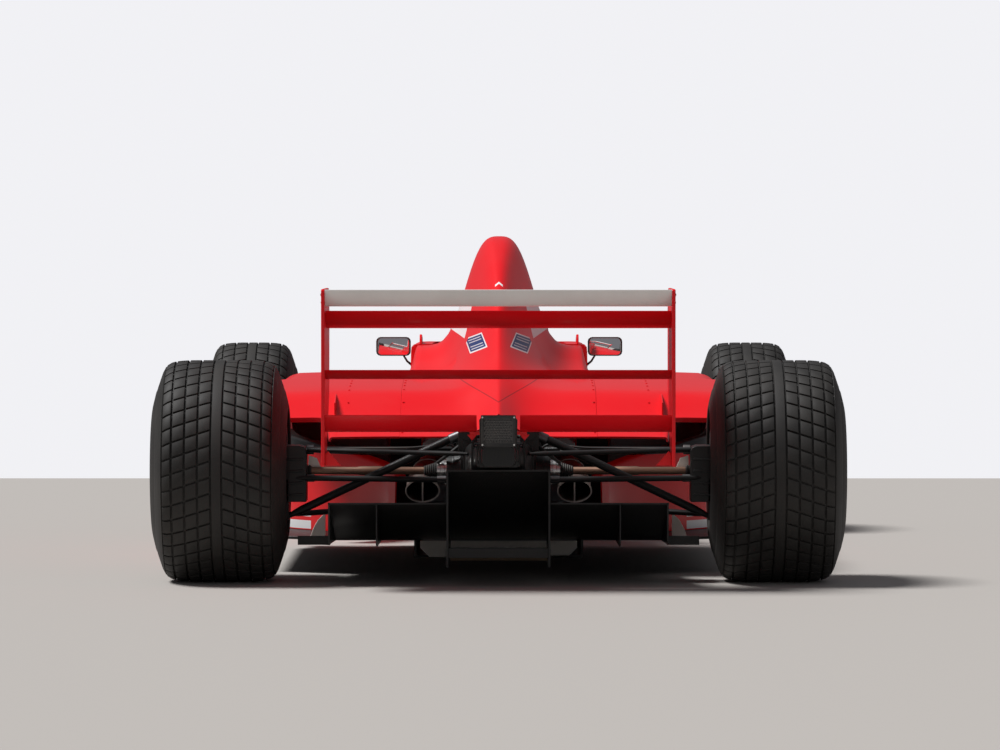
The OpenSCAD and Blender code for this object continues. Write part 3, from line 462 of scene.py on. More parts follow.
    def fit(
        self, name: str, finish: "Finish", slot: str, *nodes: str, body: Body = Body.CHASSIS, **edges: float
    ) -> None:
        """Makes the object and fixes it to its body.

        Args:
            name: the piece's name.
            finish: its finish.
            slot: the record's material slot.
            nodes: CAD nodes that it stands for.
            body: the CAD body that it rides on.
            edges: how it is edged, as in piece.
        """
        settle(self.piece(name, finish, **edges), slot, *nodes, body=body)


def soften(obj: Thing, voxel: float = 0.006, pressure: float = 4.0, cap: float = 0.006) -> Thing:
    """Swells a pad with a short cloth run and smooths it once.

    Args:
        obj: the pad, with its modifiers.
        voxel: cell size of the even mesh that the cloth runs on.
        pressure: pressure inside the pad.
        cap: the furthest that a point may move.

    Returns:
        The same object, with the swollen mesh.
    """
    scene = bpy.context.scene
    even = obj.modifiers.new("even", "REMESH")
    even.mode, even.voxel_size = "VOXEL", voxel
    mesh = evaluated(obj)
    obj.modifiers.clear()
    for vertex, normal in zip(mesh.vertices, [v.normal.copy() for v in mesh.vertices]):
        vertex.co -= normal * CLOTH_INSET
    start = [v.co.copy() for v in mesh.vertices]
    pad = added(obj.name + "_run", mesh)
    run = pad.modifiers.new("swell", "CLOTH").settings
    run.use_pressure, run.uniform_pressure_force, run.effector_weights.gravity = True, pressure, 0.0
    for frame in range(1, CLOTH_FRAMES + 1):
        scene.frame_set(frame)
    done = evaluated(pad)
    scene.frame_set(1)
    bpy.data.objects.remove(pad)
    for vertex, home in zip(done.vertices, start):
        move = vertex.co - home
        if move.length > cap:
            vertex.co = home + move.normalized() * cap
    done.shade_smooth()
    done.name = obj.name
    obj.data = done
    fine = obj.modifiers.new("fine", "SUBSURF")
    fine.levels = fine.render_levels = 1
    return obj


# ---------------- geometry nodes


def first(value: object) -> Socket:
    """A socket as it is, or a node's first output."""
    return value.outputs[0] if isinstance(value, bpy.types.Node) else value


class Tree:
    """A geometry node tree with named inputs, and the way to run it."""

    def __init__(self, name: str) -> None:
        """Makes an empty tree with a geometry input and output.

        Args:
            name: the tree's name.
        """
        self.group = bpy.data.node_groups.new(name, "GeometryNodeTree")
        face = self.group.interface
        face.new_socket("Geometry", in_out="INPUT", socket_type="NodeSocketGeometry")
        face.new_socket("Geometry", in_out="OUTPUT", socket_type="NodeSocketGeometry")
        self.ids: dict[str, str] = {}
        self.source = self.group.nodes.new("NodeGroupInput")
        self.sink = self.group.nodes.new("NodeGroupOutput")

    def input(self, name: str, kind: str, value: object = None) -> None:
        """Adds a named input of a socket type such as NodeSocketFloat."""
        socket = self.group.interface.new_socket(name, in_out="INPUT", socket_type=kind)
        if value is not None:
            socket.default_value = value
        self.ids[name] = socket.identifier

    def node(self, kind: str, links: dict[str, object] | None = None, **options: object) -> bpy.types.Node:
        """Adds a node.

        Args:
            kind: its type.
            links: input name or number to a value, a socket, or the name of a tree input.
            options: settings of the node.

        Returns:
            The node.
        """
        made = self.group.nodes.new(kind)
        for key, value in options.items():
            setattr(made, key, value)
        for key, value in (links or {}).items():
            socket = made.inputs[key]
            if isinstance(value, (Socket, bpy.types.Node)):
                self.group.links.new(first(value), socket)
            elif isinstance(value, str) and value in self.ids:
                self.group.links.new(self.source.outputs[value], socket)
            else:
                socket.default_value = value
        return made

    def close(self, geometry: bpy.types.Node) -> None:
        """Ends the tree in Realize Instances and Set Material."""
        self.input("Finish", "NodeSocketMaterial")
        real = self.node("GeometryNodeRealizeInstances", {"Geometry": geometry})
        done = self.node("GeometryNodeSetMaterial", {"Geometry": real, "Material": "Finish"})
        self.group.links.new(done.outputs[0], self.sink.inputs[0])

    def run(self, base: bpy.types.Mesh, name: str, finish: "Finish", angle: float = SHARP,
        **values: object) -> Thing:
        """Runs the tree on a mesh.

        Args:
            base: the mesh that the tree starts from.
            name: name of the result.
            finish: its finish.
            angle: edges sharper than this stay sharp.
            values: tree inputs by name, with underscores for spaces.

        Returns:
            A plain mesh object with no modifier.
        """
        carrier = added(name + "_seed", base)
        mod = carrier.modifiers.new("tree", "NODES")
        mod.node_group = self.group
        mod[self.ids["Finish"]] = finish.material()
        for key, value in values.items():
            mod[self.ids[key.replace("_", " ")]] = value
        mesh = evaluated(carrier)
        bpy.data.objects.remove(carrier)
        mesh.name = name
        mesh.materials.clear()
        mesh.materials.append(finish.material())
        for polygon in mesh.polygons:
            polygon.material_index = 0
        shade(mesh, angle)
        return added(name, mesh)


def ring_tree() -> Tree:
    """Tree that repeats its geometry round an axis along X, then carries it to a centre."""
    t = Tree("repeat_round_axle")
    t.input("Count", "NodeSocketInt", 12)
    t.input("Centre", "NodeSocketVector")
    line = t.node("GeometryNodeMeshLine", {"Count": "Count", "Offset": (0, 0, 0)})
    index = t.node("GeometryNodeInputIndex")
    turn = t.node("ShaderNodeMath", {0: 2 * pi, 1: "Count"}, operation="DIVIDE")
    angle = t.node("ShaderNodeMath", {0: index, 1: turn}, operation="MULTIPLY")
    spin = t.node("ShaderNodeCombineXYZ", {"X": angle})
    copies = t.node(
        "GeometryNodeInstanceOnPoints",
        {"Points": line, "Instance": t.source.outputs["Geometry"], "Rotation": spin},
    )
    real = t.node("GeometryNodeRealizeInstances", {"Geometry": copies})
    place = t.node("GeometryNodeTransform", {"Geometry": real, "Translation": "Centre"})
    t.close(place)
    return t


def scatter_tree() -> Tree:
    """Tree that puts a fastener at every point of its mesh, turned to the point's facing direction."""
    t = Tree("fasteners_on_points")
    t.input("Head Radius", "NodeSocketFloat", 0.004)
    t.input("Head Height", "NodeSocketFloat", 0.002)
    t.input("Sides", "NodeSocketInt", 14)
    way = t.node("GeometryNodeInputNamedAttribute", {"Name": "facing"}, data_type="FLOAT_VECTOR")
    head = t.node("GeometryNodeMeshCylinder", {"Vertices": "Sides", "Radius": "Head Radius",
        "Depth": "Head Height"})
    small = t.node("ShaderNodeMath", {0: "Head Radius", 1: 0.5}, operation="MULTIPLY")
    hex_cap = t.node("GeometryNodeMeshCylinder", {"Vertices": 6, "Radius": small, "Depth": "Head Height"})
    lift = t.node("ShaderNodeCombineXYZ", {"Z": "Head Height"})
    raised = t.node("GeometryNodeTransform", {"Geometry": hex_cap, "Translation": lift})
    both = t.node("GeometryNodeJoinGeometry")
    t.group.links.new(head.outputs[0], both.inputs[0])
    t.group.links.new(raised.outputs[0], both.inputs[0])
    turn = t.node("FunctionNodeAlignRotationToVector", {"Vector": way.outputs["Attribute"]}, axis="Z")
    copies = t.node(
        "GeometryNodeInstanceOnPoints",
        {"Points": t.source.outputs["Geometry"], "Instance": both, "Rotation": turn},
    )
    t.close(copies)
    return t


def span_tree() -> Tree:
    """Tree that draws a flat wing section out along the span, and closes its far end."""
    t = Tree("section_along_span")
    t.input("Span", "NodeSocketFloat", 1.0)
    t.input("Sweep", "NodeSocketFloat", 0.0)
    reach = t.node("ShaderNodeCombineXYZ", {"X": "Span", "Y": "Sweep"})
    out = t.node(
        "GeometryNodeExtrudeMesh",
        {"Mesh": t.source.outputs["Geometry"], "Offset": reach, "Offset Scale": 1.0, "Individual": False},
        mode="FACES",
    )
    back = t.node("GeometryNodeFlipFaces", {"Mesh": t.source.outputs["Geometry"]})
    both = t.node("GeometryNodeJoinGeometry")
    t.group.links.new(out.outputs[0], both.inputs[0])
    t.group.links.new(back.outputs[0], both.inputs[0])
    weld = t.node("GeometryNodeMergeByDistance", {"Geometry": both, "Distance": 1e-6})
    t.close(weld)
    return t


def cell_tree() -> Tree:
    """Tree that fills a rectangle in the XZ plane with raised six sided cells."""
    t = Tree("lens_cells")
    t.input("Cell", "NodeSocketFloat", 0.006)
    t.input("Depth", "NodeSocketFloat", 0.002)
    cup = t.node(
        "GeometryNodeMeshCone",
        {"Vertices": 6, "Radius Top": 0.0012, "Radius Bottom": "Cell", "Depth": "Depth"},
        fill_type="NONE",
    )
    copies = t.node(
        "GeometryNodeInstanceOnPoints",
        {"Points": t.source.outputs["Geometry"], "Instance": cup, "Rotation": (pi / 2, 0, 0)},
    )
    t.close(copies)
    return t


@dataclass
class Trees:
    """The geometry node trees, each built once."""

    ring: Tree = field(default_factory=ring_tree)
    scatter: Tree = field(default_factory=scatter_tree)
    span: Tree = field(default_factory=span_tree)
    cells: Tree = field(default_factory=cell_tree)

    def fasteners(
        self, name: str, spots: Sequence[tuple[Point, Point]], finish: "Finish", radius: float = 4.0,
        height: float = 2.0
    ) -> Thing:
        """Puts fasteners on points.

        Args:
            name: the piece's name.
            spots: pairs of place in millimetres and facing direction.
            finish: their finish.
            radius: head radius in millimetres.
            height: head height in millimetres.

        Returns:
            One object with every fastener.
        """
        seed = bpy.data.meshes.new(name)
        seed.from_pydata([Vector(p) * MM for p, _ in spots], [], [])
        way = seed.attributes.new("facing", "FLOAT_VECTOR", "POINT")
        for i, (_, d) in enumerate(spots):
            way.data[i].vector = d
        return self.scatter.run(seed, name, finish, Head_Radius=radius * MM, Head_Height=height * MM)

    def wing(
        self, name: str, outline: Sequence[Point], x0: float, x1: float, finish: "Finish", sweep: float = 0.0
    ) -> Thing:
        """Draws a wing section out between two x values in millimetres."""
        seed = bpy.data.meshes.new(name)
        seed.from_pydata([(x0 * MM, p[0] * MM, p[1] * MM) for p in outline], [], [list(range(len(outline)))])
        if seed.polygons[0].normal.x < 0:
            seed.flip_normals()
        return self.span.run(seed, name, finish, angle=50, Span=(x1 - x0) * MM, Sweep=sweep * MM)


# ---------------- shader groups and finishes


class Shade:
    """Small helper that builds shader nodes in a tree."""

    def __init__(self, tree: bpy.types.NodeTree) -> None:
        """Keeps the tree that nodes are added to."""
        self.tree = tree

    def node(self, kind: str, links: dict[object, object] | None = None, **options: object) -> bpy.types.Node:
        """Adds a shader node, with values or sockets for its inputs and settings for its options."""
        made = self.tree.nodes.new("ShaderNode" + kind)
        for key, value in options.items():
            setattr(made, key, value)
        for key, value in (links or {}).items():
            if isinstance(value, (Socket, bpy.types.Node)):
                self.tree.links.new(first(value), made.inputs[key])
            else:
                made.inputs[key].default_value = value
        return made

    def math(self, kind: str, *values: object) -> Socket:
        """Result of a Math node."""
        return self.node("Math", dict(enumerate(values)), operation=kind).outputs[0]

    def times(self, a: object, b: object) -> Socket:
        """Product of two values."""
        return self.math("MULTIPLY", a, b)

    def plus(self, a: object, b: object) -> Socket:
        """Sum of two values."""
        return self.math("ADD", a, b)

    def less(self, a: object, b: object) -> Socket:
        """1 where a is less than b, 0 elsewhere."""
        return self.math("LESS_THAN", a, b)

    def between(self, value: object, low: float, high: float) -> Socket:
        """1 where the value lies between two limits, 0 elsewhere."""
        return self.math("MULTIPLY", self.math("GREATER_THAN", value, low), self.math("LESS_THAN", value, high))

    def mix(self, factor: object, a: object, b: object) -> Socket:
        """Mix of two colours."""
        return self.node("Mix", {0: factor, 6: a, 7: b}, data_type="RGBA").outputs[2]


def shader_group(name: str, inputs: dict[str, float], outputs: dict[str, str]) -> tuple[Shade, bpy.types.Node,
    bpy.types.Node]:
    """Starts a shader node group.

    Args:
        name: the group's name.
        inputs: float inputs with their defaults; each group also has a Vector input.
        outputs: output names with their socket types.

    Returns:
        The helper for its tree, its input node and its output node.
    """
    tree = bpy.data.node_groups.new(name, "ShaderNodeTree")
    tree.interface.new_socket("Vector", in_out="INPUT", socket_type="NodeSocketVector")
    for key, value in inputs.items():
        tree.interface.new_socket(key, in_out="INPUT", socket_type="NodeSocketFloat").default_value = value
    for key, kind in outputs.items():
        tree.interface.new_socket(key, in_out="OUTPUT", socket_type=kind)
    return Shade(tree), tree.nodes.new("NodeGroupInput"), tree.nodes.new("NodeGroupOutput")


def dust_group() -> bpy.types.NodeTree:
    """Group for dust and scuffs: a mask of dust, a roughness change and a fine height."""
    s, src, out = shader_group(
        "dust_and_scuffs",
        {"Scale": 6.0, "Amount": 0.3, "Low Part": 0.3},
        {"Dust": "NodeSocketFloat", "Rough": "NodeSocketFloat", "Height": "NodeSocketFloat"},
    )
    v = src.outputs["Vector"]
    big = s.node("TexNoise", {"Vector": v, "Scale": src.outputs["Scale"], "Detail": 8.0, "Roughness": 0.62})
    fine = s.node("TexNoise", {"Vector": v, "Scale": s.times(src.outputs["Scale"], 60.0), "Detail": 4.0})
    xyz = s.node("SeparateXYZ", {"Vector": v})
    low = s.node("MapRange", {"Value": xyz.outputs["Z"], 1: 0.0, 2: 0.45, 3: 1.0, 4: 0.0})
    lowness = s.times(low.outputs[0], src.outputs["Low Part"])
    patch = s.node("MapRange", {"Value": big.outputs[0], 1: 0.42, 2: 0.78, 3: 0.0, 4: 1.0}).outputs[0]
    speck = s.times(patch, s.plus(fine.outputs[0], 0.4))
    dust = s.times(s.plus(speck, lowness), src.outputs["Amount"])
    s.tree.links.new(s.math("MINIMUM", dust, 1.0), out.inputs["Dust"])
    s.tree.links.new(s.times(dust, 0.5), out.inputs["Rough"])
    s.tree.links.new(fine.outputs[0], out.inputs["Height"])
    return s.tree


def weave_group() -> bpy.types.NodeTree:
    """Group for twill carbon cloth: a light and dark tow mask and its height."""
    s, src, out = shader_group(
        "twill_weave", {"Tows per metre": 420.0}, {"Tow": "NodeSocketFloat", "Height": "NodeSocketFloat"}
    )
    scaled = s.node("VectorMath", {0: src.outputs["Vector"], 3: src.outputs["Tows per metre"]},
        operation="SCALE")
    xyz = s.node("SeparateXYZ", {"Vector": scaled.outputs[0]})
    a = s.plus(xyz.outputs["X"], xyz.outputs["Z"])
    b = s.plus(xyz.outputs["Y"], s.times(xyz.outputs["Z"], 0.37))
    fa, fb = s.math("FLOOR", a), s.math("FLOOR", b)
    step = s.math("FLOORED_MODULO", s.plus(fa, fb), 4.0)
    tow = s.less(step, 2.0)
    bend = s.math("ABSOLUTE", s.math("SINE", s.times(s.plus(a, b), pi / 2)))
    s.tree.links.new(tow, out.inputs["Tow"])
    s.tree.links.new(s.times(bend, s.plus(tow, 0.5)), out.inputs["Height"])
    return s.tree


def group(name: str) -> bpy.types.NodeTree:
    """The named shader group, built the first time it is asked for."""
    makers = {"dust_and_scuffs": dust_group, "twill_weave": weave_group}
    return bpy.data.node_groups.get(name) or makers[name]()


@dataclass(frozen=True)
class Finish:
    """A surface finish with colour, gloss, dust and fine relief.

    Each finish becomes one material, made the first time it is used.
    """

    name: str
    colour: Colour = (0.5, 0.5, 0.5)
    metal: float = 0.0
    rough: float = 0.4
    coat: float = 0.0
    gloss: float = 0.4
    dust: float = 0.25
    dust_colour: Colour = (0.30, 0.26, 0.22)
    relief: float = 0.02
    relief_scale: float = 900.0
    second: Colour | None = None
    lines: Lines = Lines.NONE

    def material(self) -> bpy.types.Material:
        """The finish's material."""
        found = bpy.data.materials.get(self.name)
        if found:
            return found
        mat = bpy.data.materials.new(self.name)
        mat.use_nodes = True
        mat.node_tree.nodes.clear()
        s = Shade(mat.node_tree)
        where = s.node("TexCoord").outputs["Object"]
        shader = s.node("BsdfPrincipled")
        shader.inputs["Coat Weight"].default_value = self.coat
        shader.inputs["Coat Roughness"].default_value = 0.06
        shader.inputs["Specular IOR Level"].default_value = self.gloss
        self.paint(s, where, shader)
        out = s.node("OutputMaterial")
        s.tree.links.new(shader.outputs[0], out.inputs["Surface"])
        return mat

    def paint(self, s: Shade, where: Socket, shader: bpy.types.Node) -> None:
        """Builds the finish's nodes.

        Args:
            s: helper for the material's tree.
            where: Object coordinates.
            shader: the Principled shader that they feed.
        """
        tone = s.node("TexNoise", {"Vector": where, "Scale": 4.0, "Detail": 5.0}).outputs[0]
        base = s.mix(s.times(tone, 0.35), (*self.colour, 1), (*(self.second or self.colour), 1))
        base = self.mark(s, where, base)
        dust = s.node("Group", node_tree=group("dust_and_scuffs"))
        s.tree.links.new(where, dust.inputs["Vector"])
        dust.inputs["Amount"].default_value = self.dust
        base = s.mix(dust.outputs["Dust"], base, (*self.dust_colour, 1))
        s.tree.links.new(base, shader.inputs["Base Color"])
        s.tree.links.new(s.plus(dust.outputs["Rough"], self.rough), shader.inputs["Roughness"])
        shader.inputs["Metallic"].default_value = self.metal
        height, strength, depth = self.grain(s, where, dust.outputs["Height"])
        bump = s.node("Bump", {"Height": height, "Strength": strength, "Distance": depth})
        s.tree.links.new(bump.outputs[0], shader.inputs["Normal"])

    def mark(self, s: Shade, where: Socket, base: Socket) -> Socket:
        """Adds marks to the base colour. A plain finish has none."""
        return base

    def grain(self, s: Shade, where: Socket, height: Socket) -> Relief:
        """Height, strength and depth of the relief: a fine grain over the dust."""
        grain = s.node("TexNoise", {"Vector": where, "Scale": self.relief_scale, "Detail": 3.0}).outputs[0]
        mixed = s.plus(s.times(grain, 0.7), s.times(height, 0.3))
        return mixed, self.relief, 0.001


@dataclass(frozen=True)
class Paint(Finish):
    """Gloss paint under clear lacquer, with panel joints, tape lines, plain blank badges and a painted shade on
    the flanks.
    """

    rough: float = 0.36
    coat: float = 0.18
    gloss: float = 0.22
    dust: float = 0.03
    relief: float = 0.03
    relief_scale: float = 260.0
    white: Colour = (0.84, 0.84, 0.84)
    blue: Colour = (0.012, 0.035, 0.16)
    dark: Colour = (0.05, 0.004, 0.005)

    def mark(self, s: Shade, where: Socket, base: Socket) -> Socket:
        """Adds the marks that this panel carries."""
        if self.lines is Lines.NONE:
            return base
        xyz = s.node("SeparateXYZ", {"Vector": where})
        x, y, z = (xyz.outputs[k] for k in "XYZ")
        side = s.math("ABSOLUTE", x)
        if self.lines is Lines.POD:
            for low, high in ((-0.5415, -0.5385), (-0.0415, -0.0385)):
                base = s.mix(s.times(s.between(y, low, high), 0.85), base, (*self.dark, 1))
            return base
        if self.lines is Lines.FLANK:
            for low, high in ((0.112, 0.137), (0.149, 0.157)):
                band = s.times(s.between(z, low, high), s.between(y, -0.93, -0.72))
                base = s.mix(band, base, (*self.white, 1))
            # Black over the upper part of the wall, above 343 mm: painted shade of the dark gap under the
            # sidepod deck
            return s.mix(s.math("GREATER_THAN", z, 0.343), base, (0.006, 0.006, 0.006, 1))
        if self.lines is Lines.NOSE:
            seam = s.between(y, 1.4985, 1.5015)
            return s.mix(s.times(seam, 0.85), base, (*self.dark, 1))
        # White flank panel beside the airbox, with a slanted lower edge
        lower = s.math("GREATER_THAN", s.math("SUBTRACT", z, s.times(side, 0.55)), 0.622)
        flank = s.times(s.math("GREATER_THAN", side, 0.078), s.between(z, 0.60, 0.815))
        ahead = s.math("GREATER_THAN", s.math("SUBTRACT", y, s.times(z, 0.8)), -1.02)
        base = s.mix(s.times(s.times(flank, lower), ahead), base, (*self.white, 1))
        # Blank badges with a white edge, set square to the panel
        du, dv = s.math("SUBTRACT", side, 0.0705), s.math("SUBTRACT", z, 0.672)
        c, n = cos(radians(24)), sin(radians(24))
        u = s.math("ABSOLUTE", s.plus(s.times(du, c), s.times(dv, -n)))
        v = s.math("ABSOLUTE", s.plus(s.times(du, n), s.times(dv, c)))
        behind = s.less(y, -0.56)
        for w, h, colour in ((0.0295, 0.0225, self.white), (0.026, 0.019, self.blue)):
            inside = s.times(s.less(u, w), s.less(v, h))
            base = s.mix(s.times(inside, behind), base, (*colour, 1))
        for w in (0.006, 0.013):
            bar = s.times(s.between(v, w - 0.0013, w + 0.0013), s.less(u, 0.021))
            base = s.mix(s.times(bar, s.times(behind, 0.7)), base, (*self.white, 1))
        # Joint of the removable cover: a low V over the spine
        seam = s.between(s.math("SUBTRACT", z, s.times(side, 0.5)), 0.5085, 0.512)
        seam = s.times(seam, s.less(side, 0.118))
        base = s.mix(s.times(seam, 0.5), base, (*self.dark, 1))
        ridge = s.between(s.plus(z, s.times(side, 0.8)), 0.852, 0.858)
        ridge = s.times(ridge, s.less(side, 0.012))
        return s.mix(ridge, base, (*self.white, 1))


@dataclass(frozen=True)
class Carbon(Finish):
    """Lacquered or dull carbon cloth."""

    colour: Colour = (0.006, 0.006, 0.006)
    second: Colour | None = (0.010, 0.010, 0.010)
    rough: float = 0.45
    coat: float = 0.08
    gloss: float = 0.3
    dust: float = 0.05
    dust_colour: Colour = (0.06, 0.055, 0.05)
    relief: float = 0.25
    tows: float = 420.0

    def weave(self, s: Shade, where: Socket) -> bpy.types.Node:
        """Adds the weave group."""
        node = s.node("Group", node_tree=group("twill_weave"))
        s.tree.links.new(where, node.inputs["Vector"])
        node.inputs["Tows per metre"].default_value = self.tows
        return node

    def mark(self, s: Shade, where: Socket, base: Socket) -> Socket:
        """Lightens every other tow."""
        tow = self.weave(s, where).outputs["Tow"]
        light = tuple(min(1.0, c * 2.1 + 0.006) for c in self.colour)
        return s.mix(s.times(tow, 0.6), base, (*light, 1))

    def grain(self, s: Shade, where: Socket, height: Socket) -> Relief:
        """Relief of the weave."""
        return self.weave(s, where).outputs["Height"], self.relief, 0.0004


@dataclass(frozen=True)
class Rubber(Finish):
    """Tyre rubber with a dusty grey bloom and a pebbled surface."""

    colour: Colour = (0.012, 0.011, 0.010)
    second: Colour | None = (0.022, 0.020, 0.018)
    rough: float = 0.62
    dust: float = 0.30
    dust_colour: Colour = (0.075, 0.068, 0.060)
    relief: float = 0.35
    relief_scale: float = 700.0


@dataclass(frozen=True)
class Cells(Finish):
    """Metal core of fine upright fins."""

    def grain(self, s: Shade, where: Socket, height: Socket) -> Relief:
        """Relief of fine fins and tubes."""
        xyz = s.node("SeparateXYZ", {"Vector": where})
        fin = s.math("SINE", s.times(xyz.outputs["X"], 2200.0))
        tube = s.math("SINE", s.times(xyz.outputs["Z"], 620.0))
        return s.plus(fin, tube), 0.8, 0.002


@dataclass(frozen=True)
class Cloth(Finish):
    """Woven webbing or cover cloth."""

    rough: float = 0.85
    dust: float = 0.15
    threads: float = 1400.0

    def grain(self, s: Shade, where: Socket, height: Socket) -> Relief:
        """Relief of crossing threads."""
        xyz = s.node("SeparateXYZ", {"Vector": where})
        a = s.math("SINE", s.times(s.plus(xyz.outputs["X"], xyz.outputs["Z"]), self.threads))
        b = s.math("SINE", s.times(s.plus(xyz.outputs["Y"], xyz.outputs["Z"]), self.threads))
        return s.times(a, b), 0.5, 0.0006


@dataclass(frozen=True)
class Clear(Finish):
    """Tinted clear screen."""

    def paint(self, s: Shade, where: Socket, shader: bpy.types.Node) -> None:
        """Sets clear glass with faint streaks in its roughness."""
        shader.inputs["Base Color"].default_value = (*self.colour, 1)
        shader.inputs["Transmission Weight"].default_value = 0.9
        shader.inputs["IOR"].default_value = 1.45
        streak = s.node("TexNoise", {"Vector": where, "Scale": 30.0, "Detail": 6.0}).outputs[0]
        s.tree.links.new(s.times(streak, 0.12), shader.inputs["Roughness"])


RED = (0.80, 0.004, 0.010)
DEEP = (0.68, 0.002, 0.006)
RED_PAINT = Paint("red_gloss", RED, second=DEEP)
COVER_PAINT = Paint("red_cover", RED, second=DEEP, lines=Lines.COVER)
POD_PAINT = Paint("red_pods", RED, second=DEEP, lines=Lines.POD)
NOSE_PAINT = Paint("red_nose", RED, second=DEEP, lines=Lines.NOSE)
FLANK_PAINT = Paint("red_flank", RED, second=DEEP, lines=Lines.FLANK)
WHITE_PAINT = Paint("white_gloss", (0.80, 0.79, 0.77), second=(0.74, 0.73, 0.70), dust=0.2)
CARBON = Carbon("dull_carbon")
GLOSS_CARBON = Carbon("lacquered_carbon", rough=0.25, coat=0.7, dust=0.15)
ARM_CARBON = Carbon("arm_carbon", tows=700.0, rough=0.55, coat=0.05, gloss=0.25, dust=0.04)
TYRE = Rubber("wet_tyre_rubber")
RIM_METAL = Finish("rim_metal", (0.52, 0.51, 0.49), metal=0.9, rough=0.34, relief=0.06)
DARK_METAL = Finish("dark_metal", (0.10, 0.10, 0.105), metal=0.8, rough=0.42, relief=0.1, dust=0.3)
BRIGHT_METAL = Finish("bright_metal", (0.72, 0.71, 0.69), metal=1.0, rough=0.28, relief=0.05, dust=0.1)
BROWN_SHAFT = Finish("brown_shaft", (0.33, 0.185, 0.12), metal=0.55, rough=0.42, relief=0.1,
    second=(0.16, 0.10, 0.08))
BOOT = Finish("black_boot", (0.02, 0.02, 0.02), rough=0.6, relief=0.2, dust=0.3)
PIPE = Finish("heated_pipe", (0.50, 0.45, 0.40), metal=0.95, rough=0.34, second=(0.30, 0.22, 0.25), relief=0.08)
# Near black: soot, with painted shade where it fills the pipes' bores and the disc vents
SOOT_AND_SHADE = Finish("soot", (0.008, 0.008, 0.008), rough=0.95, dust=0.05)
DISC = Finish("carbon_disc", (0.045, 0.045, 0.047), rough=0.5, relief=0.3)
FOAM = Cloth("headrest_cover", (0.022, 0.022, 0.024))
BELT = Cloth("harness_webbing", (0.03, 0.035, 0.12), threads=2600.0)
GRIP = Cloth("grip_suede", (0.02, 0.02, 0.022), threads=3200.0)
LENS = Finish("lens_grey", (0.05, 0.047, 0.045), rough=0.3, coat=0.3, relief=0.1, dust=0.2)
PLASTIC = Finish("black_plastic", (0.014, 0.014, 0.015), rough=0.45, relief=0.2)
WOOD = Finish("plank_laminate", (0.33, 0.22, 0.13), rough=0.7, second=(0.2, 0.13, 0.08), relief=0.3,
    relief_scale=300.0)
PALE = Finish("pale_skid", (0.90, 0.86, 0.79), rough=0.55, second=(0.72, 0.68, 0.62), relief=0.2, dust=0.02)
CORE = Cells("radiator_core", (0.30, 0.30, 0.31), metal=0.8, rough=0.5)
GLASS = Clear("screen_tint", (0.55, 0.57, 0.60))
MIRROR = Finish("mirror_glass", (0.92, 0.92, 0.92), metal=1.0, rough=0.03, relief=0.0, dust=0.04)
CAST = Finish("cast_metal", (0.13, 0.13, 0.135), metal=0.7, rough=0.5, relief=0.5, relief_scale=400.0, dust=0.3)
KNOB = Finish("knob_yellow", (0.75, 0.42, 0.02), rough=0.4)


# ---------------- shared layout


@dataclass(frozen=True)
class Layout:
    """Main places of the car, the same as in its CAD source."""

    rear_y: float = -2179.0
    rear_axle: float = -1679.0
    front_axle: float = 1221.0
    front_y: float = 2179.0
    front_z: float = 318.0
    rear_z: float = 320.0
    front_x: float = 841.0
    rear_x: float = 802.5
    kingpin_x: float = 775.0
    rear_ball_x: float = 630.5
    cockpit_h: float = 655.0
    cockpit_w: float = 281.0
    seam_x: float = 290.0
    floor_top: float = 108.0


CAR = Layout()


@dataclass
class Assembly:
    """A sub-assembly of the car, which shares the geometry node trees."""

    trees: Trees


# ---------------- survival cell and cockpit


